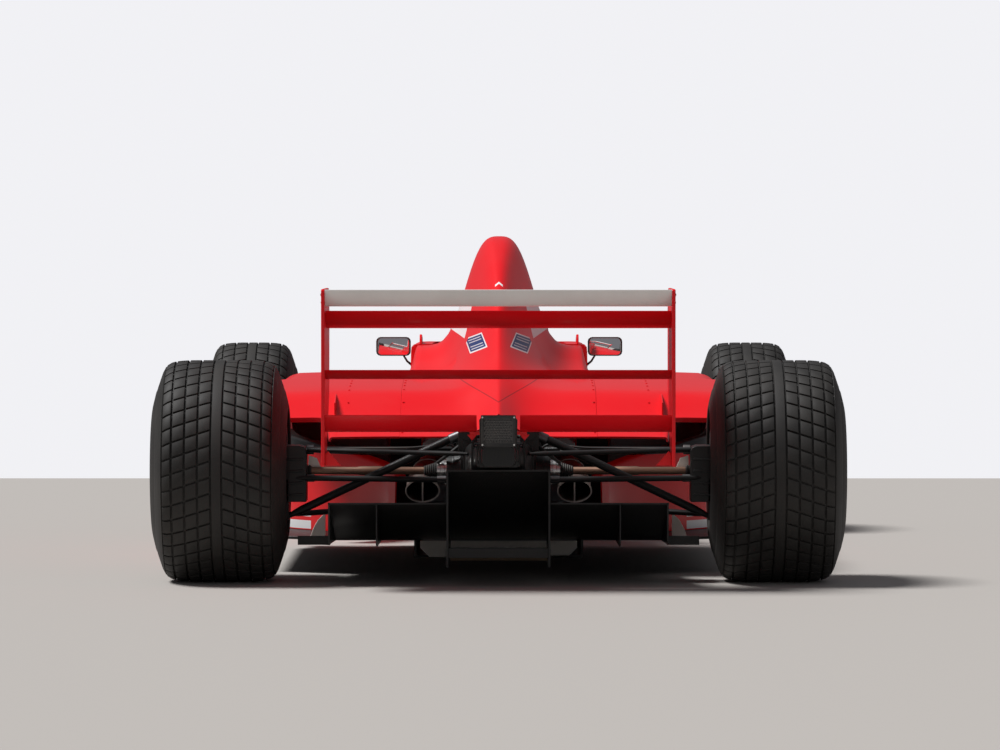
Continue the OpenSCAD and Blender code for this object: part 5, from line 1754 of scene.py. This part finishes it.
@dataclass
class Suspension(Assembly):
    """Wishbones, rods, uprights and driveshafts."""

    def arm(self, shape: Shape, a: Point, b: Point, r: float, flat: float = 0.62) -> None:
        """Adds a streamlined arm from a to b with slim ends."""
        p, q = Vector(a), Vector(b)
        stops = (0, 0.02, 0.05, 0.08, 0.92, 0.95, 0.98, 1)
        sizes = (0.62, 0.66, 0.85, 1.0, 1.0, 0.85, 0.66, 0.62)
        shape.tube([p + (q - p) * t for t in stops], [r * 1.35 * s for s in sizes], 20, flat)

    def front(self) -> None:
        """Front wishbones, pushrods, rack and uprights."""
        kx, ya, z = CAR.kingpin_x, CAR.front_axle, CAR.front_z
        arms, ends, rods = Shape(), Shape(), Shape()
        for feet, ball, r in (
            (((140, ya + 190, 470), (150, ya - 250, 492)), (kx, ya, z + 105), 9),
            (((128, ya + 190, 262), (150, ya - 250, 240)), (kx, ya, z - 105), 10),
        ):
            for f in feet:
                out = Vector(ball) + (Vector(f) - Vector(ball)).normalized() * 14
                self.arm(arms, f, out, r)
            ends.tube([(kx, ya, ball[2] - 10), (kx, ya, ball[2] - 8), (kx, ya, ball[2] + 8),
                (kx, ya, ball[2] + 10)], [14.5, 17, 17, 14.5], 28)
        arms.box((kx - 88, ya - 20, z - 113), (kx - 36, ya + 20, z - 87))
        self.arm(rods, (150, ya - 20, 470), (kx - 62, ya - 6, z - 76), 9, 0.8)
        rods.tube([(kx - 62, ya - 6, z - 86.5), (kx - 62, ya - 6, z - 66)], 12, 20)
        arms.both().fit("front_arms", ARM_CARBON, "suspension_carbon", "front_wishbones", bevel=1)
        ends.both().fit("front_ball_ends", BRIGHT_METAL, "suspension_carbon", angle=50)
        rods.both().fit("front_rods", ARM_CARBON, "suspension_carbon", "front_pushrods")
        rack = Shape()
        self.arm(rack, (-kx + 13, ya + 85, 358), (kx - 13, ya + 85, 358), 6.5, 1.0)
        for s in (-1, 1):
            rack.lathe([(8.6, -7), (13, -7), (13, 7), (8.6, 7)], (0, 0, 0), 28)
            n = 29 * 4
            for i in range(len(rack.points) - n, len(rack.points)):
                p = rack.points[i]
                rack.points[i] = Vector((s * kx + p.y, ya + 85 + p.z, 358 + p.x))
        rack.fit("rack_and_rods", DARK_METAL, "steel", "steering_rack", body=Body.RACK, angle=45)
        for s, body in ((-1, Body.UPRIGHT_LEFT), (1, Body.UPRIGHT_RIGHT)):
            self.upright(s, body)

    def upright(self, s: int, body: Body) -> None:
        """One front upright with its steering arm, pins and caliper."""
        x, y, z = CAR.kingpin_x, CAR.front_axle, CAR.front_z
        half = 92.5
        shape = Shape()
        shape.lathe([(30.3, -22), (50, -22), (50, 30), (46, 40), (30.3, 40)], (x, y, z), 48)
        outline = [(y - 20, z - half), (y + 20, z - half), (y + 24, z - half + 8), (y + 30, z - 40),
            (y + 30, z + 40),
                   (y + 24, z + half - 8), (y + 20, z + half), (y - 20, z + half), (y - 24, z + half - 8),
                   (y - 30, z + 40),
                   (y - 30, z - 40), (y - 24, z - half + 8)]
        shape.plate(outline, x - 13, x + 6)
        shape.plate([(y - 24, z - half), (y + 24, z - half), (y + 24, z - half + 36), (y - 24, z - half + 36)],
            x - 13, x + 17)
        shape.plate([(y - 24, z + half - 36), (y + 24, z + half - 36), (y + 24, z + half), (y - 24, z + half)],
            x - 13, x + 17)
        shape.box((x - 13, y, z + 14), (x + 13, y + 95, z + 26))
        shape.tube([(x, y + 85, z + 14), (x, y + 85, z + 54)], 4.5, 16)
        for lo, hi in ((z + 82, z + 119), (z - 119, z - 82)):
            shape.tube([(x, y, lo), (x, y, hi)], 8, 20)
        shape.box((x - 13, y - 84, z - 14), (x + 45, y - 34, z + 14))
        if s < 0:
            shape.mirrored()
        name = "left" if s < 0 else "right"
        shape.fit(f"front_upright_{name}", CAST, "upright_metal", f"front_upright_{name}", body=body, bevel=2)
        jaw = self.caliper(x + 60, y, z, -1)
        if s < 0:
            jaw.mirrored()
        jaw.fit(f"front_caliper_{name}", DARK_METAL, "upright_metal", body=body, bevel=3, segments=3)

    @staticmethod
    def caliper(x: float, y: float, z: float, side: int) -> Shape:
        """Caliper round the disc whose inner face is at x, ahead (1) or behind (-1) the axle."""
        shape = Shape()
        lo, hi = x - 29, x + 57
        arc = [radians(a) for a in span(-27, 27, 10)]
        for r0, r1, a, b in ((68, 142, lo, x - 5), (68, 142, x + 33, hi), (130.5, 142, x - 6, x + 34)):
            rows = [
                [(q, y + side * r * cos(t), z + r * sin(t)) for r, q in ((r0, a), (r1, a), (r1, b), (r0, b))]
                for t in arc
            ]
            shape.grid(rows, wrap=True, caps=True)
        return shape

    def rear(self) -> None:
        """Rear wishbones, links, uprights with brake ducts, and driveshafts."""
        bx, ya, z = CAR.rear_ball_x, CAR.rear_axle, CAR.rear_z
        arms, rods, metal = Shape(), Shape(), Shape()
        up, down = (bx - 20, ya, z + 62), (bx - 12, ya, z - 127)
        for f in ((88, ya + 170, 376), (88, ya - 140, 374)):
            self.arm(arms, f, up, 8.6)
        for f in ((112, ya + 349, 208), (104, ya + 139, 222)):
            self.arm(arms, f, down, 9.5)
        self.arm(rods, (92, ya - 60, 436), (bx - 22, ya - 46, 190), 9.6, 0.9)
        self.arm(rods, (74, ya - 96, 297), (bx - 20, ya - 52, 302), 7, 0.9)
        for p, q, r in (
            ((bx - 96, ya, z + 61), (bx - 76, ya, z + 61), 14), ((150, ya - 88, 298), (176, ya - 86, 298), 11),
            ((bx - 100, ya - 55, 301), (bx - 78, ya - 54, 301), 11),
            ((110, ya - 60, 425), (140, ya - 58, 412), 15),
        ):
            metal.tube([p, q], r, 20)
        arms.both().fit("rear_arms", ARM_CARBON, "suspension_carbon", "rear_wishbones")
        rods.both().fit("rear_rods", ARM_CARBON, "suspension_carbon", "rear_links")
        metal.both().fit("rod_ends", DARK_METAL, "steel", bevel=1.5)
        duct = Shape()
        outline = [(bx - 76, z - 88), (bx - 76, z + 60), (bx - 70, z + 70), (bx - 58, z + 74),
            (bx - 6, z + 74), (bx - 6, z - 88)]
        duct.prism(outline, ya - 62, ya + 62, axis="y")
        duct.box((bx - 26, ya - 62, z - 141), (bx + 10, ya + 18, z - 21))
        duct.lathe([(30.4, -10), (52, -10), (52, 44), (48, 52), (30.4, 52)], (bx, ya, z), 48)
        duct.box((bx - 10, ya + 34, z - 14), (bx + 47, ya + 84, z + 14))
        # Louvre lips and a cooling scoop on the rear face
        for k in range(4):
            duct.prism([(bx - 68, z - 70 + 34 * k), (bx - 14, z - 70 + 34 * k), (bx - 14, z - 66 + 34 * k),
                (bx - 68, z - 62 + 34 * k)], ya - 66, ya - 61, axis="y")
        duct.both().fit("rear_upright_ducts", CARBON, "carbon", "rear_uprights", bevel=2)
        jaws = self.caliper(bx + 62, ya, z, 1).both()
        jaws.fit("rear_calipers", DARK_METAL, "upright_metal", bevel=3, segments=3)
        patch = Shape().prism([(bx - 104, z + 36), (bx - 80, z + 44), (bx - 78, z + 6), (bx - 120, z - 2)],
            ya + 20, ya + 24, axis="y").both()
        patch.fit("heat_shields", PALE, "carbon", bevel=1)
        for s, body, name in ((-1, Body.REAR_LEFT, "left"), (1, Body.REAR_RIGHT, "right")):
            self.shaft(s, body, name)

    def shaft(self, s: int, body: Body, name: str) -> None:
        """One driveshaft with its joints and ribbed boots."""
        y, z = CAR.rear_axle, CAR.rear_z
        bar = Shape().lathe([(0, 176), (11, 176), (11, 330), (13, 340), (13, 400), (11, 410), (11, 582),
            (0, 582)], (0, y, z), 32, closed=False)
        drum = Shape().lathe([(0, 130), (31.6, 130), (31.6, 156), (33, 157), (33, 166), (29, 168), (29, 178),
            (0, 178)], (0, y, z), 40, closed=False)
        drum.lathe([(0, 578), (27, 578), (27, 622), (0, 622)], (0, y, z), 40, closed=False)
        boot = [(0, 176)]
        for k in range(7):
            r = 27 - 1.9 * k
            boot += [(r, 177 + 6 * k), (r - 4, 180 + 6 * k)]
        boot.append((0, 220))
        cone = Shape().lathe(boot, (0, y, z), 32, closed=False)
        cone.lathe([(0, 540), (13, 541), (17, 546), (14, 550), (21, 556), (17, 560), (24, 568), (24, 579),
            (0, 579)], (0, y, z), 32, closed=False)
        for shape, label, finish in ((bar, "driveshaft", BROWN_SHAFT), (drum, "joint_drums", BRIGHT_METAL),
            (cone, "joint_boots", BOOT)):
            if s < 0:
                shape.mirrored()
            nodes = [f"driveshaft_{name}"] if label == "driveshaft" else []
            shape.fit(f"{label}_{name}", finish, "shaft_steel", *nodes, body=body, angle=40)

    def build(self) -> None:
        """Makes and fixes the whole suspension."""
        self.front()
        self.rear()


# ---------------- wings


@dataclass
class Wings(Assembly):
    """Front and rear wings with their endplates."""

    rear_half: float = 497.0
    plate: float = 10.0
    top: float = 848.0
    front_half: float = 700.0
    front_z: float = 96.0

    def rear(self) -> None:
        """Rear wing elements, endplates, gussets and stays."""
        y, h, inner = CAR.rear_y, self.top, self.rear_half - self.plate
        x = inner - 0.3
        for name, lead, trail, t, camber, finish, slot, node in (
            ("rear_flap", (62, -46), (0.4, 0), 11, 5, WHITE_PAINT, "white_paint", "rear_wing_flap"),
            ("rear_main_element", (300, -92), (66, -60), 24, 20, RED_PAINT, "red_paint", "rear_wing_main"),
            ("rear_middle_element", (190, -248), (40, -226), 13, 7, RED_PAINT, "red_paint", "rear_wing_lower"),
        ):
            section = wing_outline((y + lead[0], h + lead[1]), (y + trail[0], h + trail[1]), t, camber)
            settle(self.trees.wing(name, section, -x, x, finish), slot, node)
        beam = wing_outline((y + 150, h - 398), (y + 12, h - 352), 17, 9)
        for a, b, name in ((61, x, "right"), (-x, -61, "left")):
            settle(self.trees.wing(f"rear_beam_{name}", beam, a, b, RED_PAINT), "red_paint")
        outline = [
            (y, 356), (y + 4, 352), (y + 150, 352), (y + 170, 364), (y + 246, 422), (y + 258, 436),
            (y + 416, 546),
            (y + 424, 566), (y + 440, 770), (y + 438, 786), (y + 388, 842), (y + 374, h + 2), (y + 4, h + 2),
            (y, h - 2),
        ]
        plates = Shape().plate(outline, inner, self.rear_half).both()
        plates.fit("rear_endplates", RED_PAINT, "red_paint", "rear_wing_endplates", bevel=2.2, segments=3)
        gusset = Shape()
        gusset.plate([(y + 62, 408), (y + 172, 408), (y + 142, 450), (y + 62, 440)], 35, 43)
        gusset.box((35, y + 100, 438), (81, y + 124, 448))
        gusset.prism([(60, 438), (88, 438), (74, 421)], y + 118, y + 124, axis="y")
        # Small stiffeners at the feet of the endplates
        gusset.prism([(443, 353), (487, 353), (487, 384), (480, 394)], y + 60, y + 66, axis="y")
        gusset.both().fit("wing_gussets", RED_PAINT, "red_paint", bevel=1.2)
        stays = Shape()
        stays.tube([(74, y + 121, 424), (70, y + 190, 402), (52, y + 300, 396)], 3.2, 10)
        stays.both().fit("wing_stays", DARK_METAL, "steel")
        spots = []
        for s in (-1, 1):
            out = (s, 0, 0)
            for py, pz in ((290, h - 92), (180, h - 82), (84, h - 66), (48, h - 36), (20, h - 14),
                (180, h - 246), (64, h - 230), (140, h - 396), (40, h - 362)):
                spots.append(((s * (self.rear_half + 0.4), y + py, pz), out))
        settle(self.trees.fasteners("wing_screws", spots, DARK_METAL, 5, 1.2), "steel")
        face = Vector((0, -46, -62)).normalized()
        pins = [((s * q, y + 14.5, h - 13.0), face) for s in (-1, 1) for q in (136, 150)]
        settle(self.trees.fasteners("flap_pins", pins, DARK_METAL, 3.2, 1.4), "steel")

    def front(self) -> None:
        """Front wing plane, flaps, pylons and endplates."""
        y, z, x = CAR.front_y, self.front_z, self.front_half - self.plate - 0.3
        main = self.trees.wing("front_plane", wing_outline((y - 18, z + 22), (y - 300, z + 28), 22, 14), -x, x,
            RED_PAINT)
        settle(main, "red_paint", "front_wing_main")
        pylons = Shape()
        pylons.plate([(y - 440, z + 16), (y - 300, z + 14), (y - 230, z + 14), (y - 210, 262), (y - 330, 257),
            (y - 440, 250)], 52, 61)
        pylons.both().fit("nose_pylons", RED_PAINT, "red_paint", bevel=3, segments=3)
        section = wing_outline((y - 256, z + 52), (y - 378, z + 112), 13, 9)
        for a, b, name in ((150, x, "right"), (-x, -150, "left")):
            flap = self.trees.wing(f"front_flap_{name}", section, a, b, RED_PAINT)
            settle(flap, "red_paint", *(["front_wing_flaps"] if name == "right" else []))
        low, high = z - 42, z + 150
        outline = [
            (y, low + 14), (y - 2, low + 60), (y - 10, low + 92), (y - 40, high - 74), (y - 150, high - 30),
            (y - 260, high - 8),
            (y - 360, high), (y - 396, high - 6), (y - 412, high - 26), (y - 420, low + 30),
            (y - 404, low + 10), (y - 380, low),
            (y - 40, low), (y - 10, low + 4),
        ]
        plates = Shape().plate(outline, self.front_half - self.plate, self.front_half)
        plates.prism([(self.front_half - 60, low), (self.front_half - 2, low), (self.front_half - 2, low + 5),
            (self.front_half - 60, low + 5)], y - 380, y - 60, axis="y")
        plates.both().fit("front_endplates", RED_PAINT, "red_paint", "front_wing_endplates", bevel=2.2,
            segments=3)
        spots = [((s * (self.front_half + 0.2), y - q, z + r), (s, 0, 0)) for s in (-1, 1)
            for q, r in ((60, 22), (160, 26), (270, 30), (270, 60), (360, 100))]
        settle(self.trees.fasteners("front_wing_screws", spots, DARK_METAL, 4.5, 0.8), "steel")

    def build(self) -> None:
        """Makes and fixes both wings."""
        self.rear()
        self.front()


# ---------------- wheels


@dataclass
class Wheel(Assembly):
    """One wheel: grooved tyre, rim, disc and nut, on its own axle line."""

    name: str
    body: Body
    side: int
    centre: tuple[float, float, float]
    radius: float
    width: float
    hub_in: float
    disc_in: float
    columns: tuple[tuple[float, float], ...]
    rib: float
    count: int = 44
    groove: float = 6.5
    slant: float = 18.5
    bead: float = 165.0
    spokes: int = 10

    def crown(self, x: float) -> float:
        """Outer radius of the tyre at a distance from its middle."""
        r, h = self.radius, self.width / 2
        table = ((0, r), (h - 120, r), (h - 84, r - 1.5), (h - 60, r - 5), (h - 42, r - 14), (h - 30, r - 33),
            (h - 20, r - 62), (h - 10, r - 90), (h - 3, r - 118))
        return curve(table, abs(x))

    def carcass(self) -> Shape:
        """Tyre body up to the foot of the tread blocks, with a whole middle rib."""
        r, h = self.radius, self.width / 2
        edge = self.columns[-1][1]
        g = self.groove
        half = [(0.0, r), (self.rib * 0.8, r), (self.rib - 0.6, r - 0.3), (self.rib, r - 1.2),
            (self.rib + 0.8, r - g)]
        half += [(x, self.crown(x) - g) for x in span(self.rib + 6, edge, 12)]
        half += [(edge + 1.5, self.crown(edge + 1.5) - g * 0.6), (edge + 4, self.crown(edge + 4))]
        wall = [(h - 36, r - 22), (h - 30, r - 33), (h - 25, r - 47), (h - 20, r - 62), (h - 16.4, r - 72),
            (h - 16.9, r - 74), (h - 10, r - 90), (h - 3, r - 118), (h - 1, self.bead + 28),
                (h, self.bead + 22), (h - 2, self.bead + 16), (h - 11, self.bead + 18),
                (h - 18.3, self.bead + 14.3), (h - 18.3, self.bead + 0.3)]
        half += wall
        profile = [(q, x) for x, q in half] + [(q, -x) for x, q in reversed(half[1:])]
        return Shape().lathe(profile, self.centre, 132)

    def blocks(self) -> bpy.types.Mesh:
        """Tread blocks of one pitch, round the axis through the origin."""
        shape = Shape()
        pitch = 2 * pi / self.count
        lean = tan(radians(self.slant))
        for s in (-1, 1):
            for x0, x1 in self.columns:
                rings = []
                for inset, drop in ((0.0, self.groove + 0.8), (0.0, 1.1), (0.35, 0.3), (1.2, 0.0)):
                    ring = []
                    gap = (2.9 + inset) / self.radius
                    a, b = x0 + inset, x1 - inset
                    for x, e in [(a, 0.0), (a, 0.5), (a, 1.0), ((a + b) / 2, 1.0), (b, 1.0), (b, 0.5),
                        (b, 0.0), ((a + b) / 2, 0.0)]:
                        t = x * lean / self.radius + gap + (pitch - 2 * gap) * e
                        q = self.crown(x) - drop
                        ring.append((s * x, q * cos(t), q * sin(t)))
                    rings.append(ring)
                shape.grid(rings, wrap=True)
                n = len(shape.points)
                t = (x0 + x1) / 2 * lean / self.radius + pitch / 2
                q = self.crown((x0 + x1) / 2)
                shape.add([(s * (x0 + x1) / 2, q * cos(t), q * sin(t))], [])
                shape.faces += [[n - 8 + k, n - 8 + (k + 1) % 8, n] for k in range(8)]
        return shape.mesh("tread_pitch")

    def tyre(self) -> Thing:
        """Carcass and tread as one piece."""
        c = Vector(self.centre) * MM
        tread = self.trees.ring.run(self.blocks(), f"tyre_{self.name}", TYRE, angle=35, Count=self.count,
            Centre=c)
        bm = bmesh.new()
        bm.from_mesh(tread.data)
        bm.from_mesh(self.carcass().mesh("carcass"))
        bm.to_mesh(tread.data)
        bm.free()
        shade(tread.data, 35)
        return tread

    def rim(self) -> None:
        """Barrel with hub and spindle, spokes, disc and wheel nut."""
        b = self.width / 2 - 18
        dish = b - 52
        i = self.bead - 8
        barrel = [
            (i, -b - 8), (self.bead + 10, -b - 8), (self.bead + 14, -b - 5), (self.bead + 14, -b),
            (self.bead, -b + 1), (self.bead, b - 1),
            (self.bead + 14, b), (self.bead + 14, b + 5), (self.bead + 10, b + 8), (i + 2, b + 8), (i, b + 4),
            (i - 2, b - 20), (i - 2, dish - 6), (i, dish - 14),
        ]
        face = Shape().lathe(barrel, (0, 0, 0), 96)
        hub = [(0, self.hub_in), (29.9, self.hub_in), (29.9, dish - 10), (46, dish - 6), (58, dish + 2),
            (58, dish + 16), (50, dish + 24), (34, dish + 27), (0, dish + 27)]
        face.lathe(hub, (0, 0, 0), 64, closed=False)
        spoke = Shape()
        stations = ((50, 20, 9, 22), (80, 14, 8, 20), (120, 12, 7, 17), (self.bead - 6, 17, 7, 15))
        rows = []
        for r, w, t, d in stations:
            rows.append([(dish + d + q * t, u * w / 2, r) for u,
                q in ((-1, -1), (-0.4, -1.2), (0.4, -1.2), (1, -1), (1, 0.6), (0.4, 1), (-0.4, 1), (-1, 0.6))])
        spoke.grid(rows, wrap=True, caps=True)
        nut = Shape().lathe([(0, dish + 27), (30, dish + 27), (32, dish + 34), (26, dish + 52),
            (14, dish + 55), (12, dish + 46), (0, dish + 46)], (0, 0, 0), 6, closed=False)
        disc = Shape().lathe([(60, self.disc_in), (124, self.disc_in), (124, self.disc_in + 9),
            (121, self.disc_in + 9), (121, self.disc_in + 19),
                              (124, self.disc_in + 19), (124, self.disc_in + 28), (60, self.disc_in + 28)], (0,
                              0, 0), 72)
        disc.lathe([(29, self.disc_in + 4), (61, self.disc_in + 4), (61, self.disc_in + 24),
            (29, self.disc_in + 24)], (0, 0, 0), 48)
        # Dark dots in the disc's rim groove: painted shade of the vent holes, over soot
        vent = Shape().tube([(self.disc_in + 14, 0, 119.0), (self.disc_in + 14, 0, 121.6)], 3.2, 8)
        centre = Vector(self.centre) * MM
        for shape, label, finish, copies in (
            (face, "rim", RIM_METAL, 1), (spoke, "spokes", RIM_METAL, self.spokes),
            (nut, "wheel_nut", DARK_METAL, 1),
            (disc, "brake_disc", DISC, 1), (vent, "disc_vents", SOOT_AND_SHADE, 60),
        ):
            if self.side < 0:
                shape.mirrored()
            name = f"{label}_{self.name}"
            made = self.trees.ring.run(shape.mesh(label), name, finish, Count=copies, Centre=centre)
            settle(made, "rim_metal", *([name] if label == "rim" else []), body=self.body)

    def build(self) -> None:
        """Makes and fixes the whole wheel."""
        settle(self.tyre(), "tyre_rubber", f"tyre_{self.name}", body=self.body)
        self.rim()



def wheels(trees: Trees) -> list[Wheel]:
    """The four wheels."""
    front = ((19, 54), (60, 94), (100, 126))
    rear = ((18.6, 50.2), (56.2, 87.4), (93.4, 124.6), (130.6, 154))
    made = []
    for side, label, ahead, behind in (
        (-1, "left", Body.FRONT_LEFT, Body.REAR_LEFT), (1, "right", Body.FRONT_RIGHT, Body.REAR_RIGHT),
    ):
        place = (side * CAR.front_x, CAR.front_axle, CAR.front_z)
        made.append(Wheel(trees, f"front_{label}", ahead, side, place, 318, 316, -96, -6, front, 14))
        place = (side * CAR.rear_x, CAR.rear_axle, CAR.rear_z)
        made.append(Wheel(trees, f"rear_{label}", behind, side, place, 320, 391, -180, -110, rear, 13.5))
    return made


# ---------------- stage


@dataclass
class Studio:
    """Floor, lights and camera."""

    camera_side: float = 0.019
    camera_back: float = 17.66
    camera_height: float = 0.995
    camera_down: float = 1.4266
    camera_roll: float = 0.00092
    lens: float = 198.9
    floor_reach: float = 60.0
    floor_far: float = 5.15

    def camera(self) -> None:
        """Long lens behind the car, a little above its middle."""
        data = bpy.data.cameras.new("camera")
        data.sensor_width, data.lens = 36.0, self.lens
        data.clip_end = 200
        cam = added("camera", data)
        cam.location = (self.camera_side, -self.camera_back, self.camera_height)
        cam.rotation_euler = (radians(90 - self.camera_down), 0, self.camera_roll)
        bpy.context.scene.camera = cam

    def sun(self, towards: Point, power: float) -> None:
        """One soft sun that gives the floor an even light."""
        data = bpy.data.lights.new("key", "SUN")
        data.energy, data.angle = power, radians(20)
        added("key", data).rotation_euler = Vector(towards).to_track_quat("-Z", "Y").to_euler()

    def light(self, name: str, place: Point, size: float, power: float) -> None:
        """One soft square light that faces the car."""
        data = bpy.data.lights.new(name, "AREA")
        data.shape, data.size, data.energy = "SQUARE", size, power
        obj = added(name, data)
        obj.location = place
        obj.rotation_euler = (Vector((0, 0, 0.4)) - Vector(place)).to_track_quat("-Z", "Y").to_euler()

    def build(self) -> None:
        """Makes the floor, the world, the lights and the camera."""
        mesh = bpy.data.meshes.new("studio_floor")
        w, far = self.floor_reach, self.floor_far
        mesh.from_pydata([(-w, -w, 0), (w, -w, 0), (w, far, 0), (-w, far, 0)], [], [(0, 1, 2, 3)])
        floor = added("studio_floor", mesh)
        mesh.materials.append(Finish("floor_pale", (0.41, 0.385, 0.36), rough=0.8, dust=0.0,
            relief=0.0).material())
        world = bpy.data.worlds.new("studio")
        world.use_nodes = True
        s = Shade(world.node_tree)
        seen = s.node("LightPath").outputs["Is Camera Ray"]
        back = world.node_tree.nodes["Background"]
        s.tree.links.new(s.mix(seen, (0.17, 0.17, 0.185, 1), (0.88, 0.88, 0.91, 1)), back.inputs[0])
        back.inputs[1].default_value = 1.0
        bpy.context.scene.world = world
        bpy.context.scene.view_settings.view_transform = "Standard"
        self.sun((0.54, -0.04, -1.0), 4.1)
        self.light("fill", (6.0, -9.0, 3.0), 5.0, 28)
        self.camera()


def main() -> None:
    """Builds the car's looks round its CAD bodies."""
    logging.basicConfig(level=logging.INFO, format="%(name)s: %(message)s")
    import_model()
    Studio().build()
    trees = Trees()
    parts = [kind(trees) for kind in (SurvivalCell, Bodywork, Underfloor, RearEnd, Suspension, Wings)]
    for part in parts + wheels(trees):
        part.build()
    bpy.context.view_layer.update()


if __name__ == "__main__":
    main()
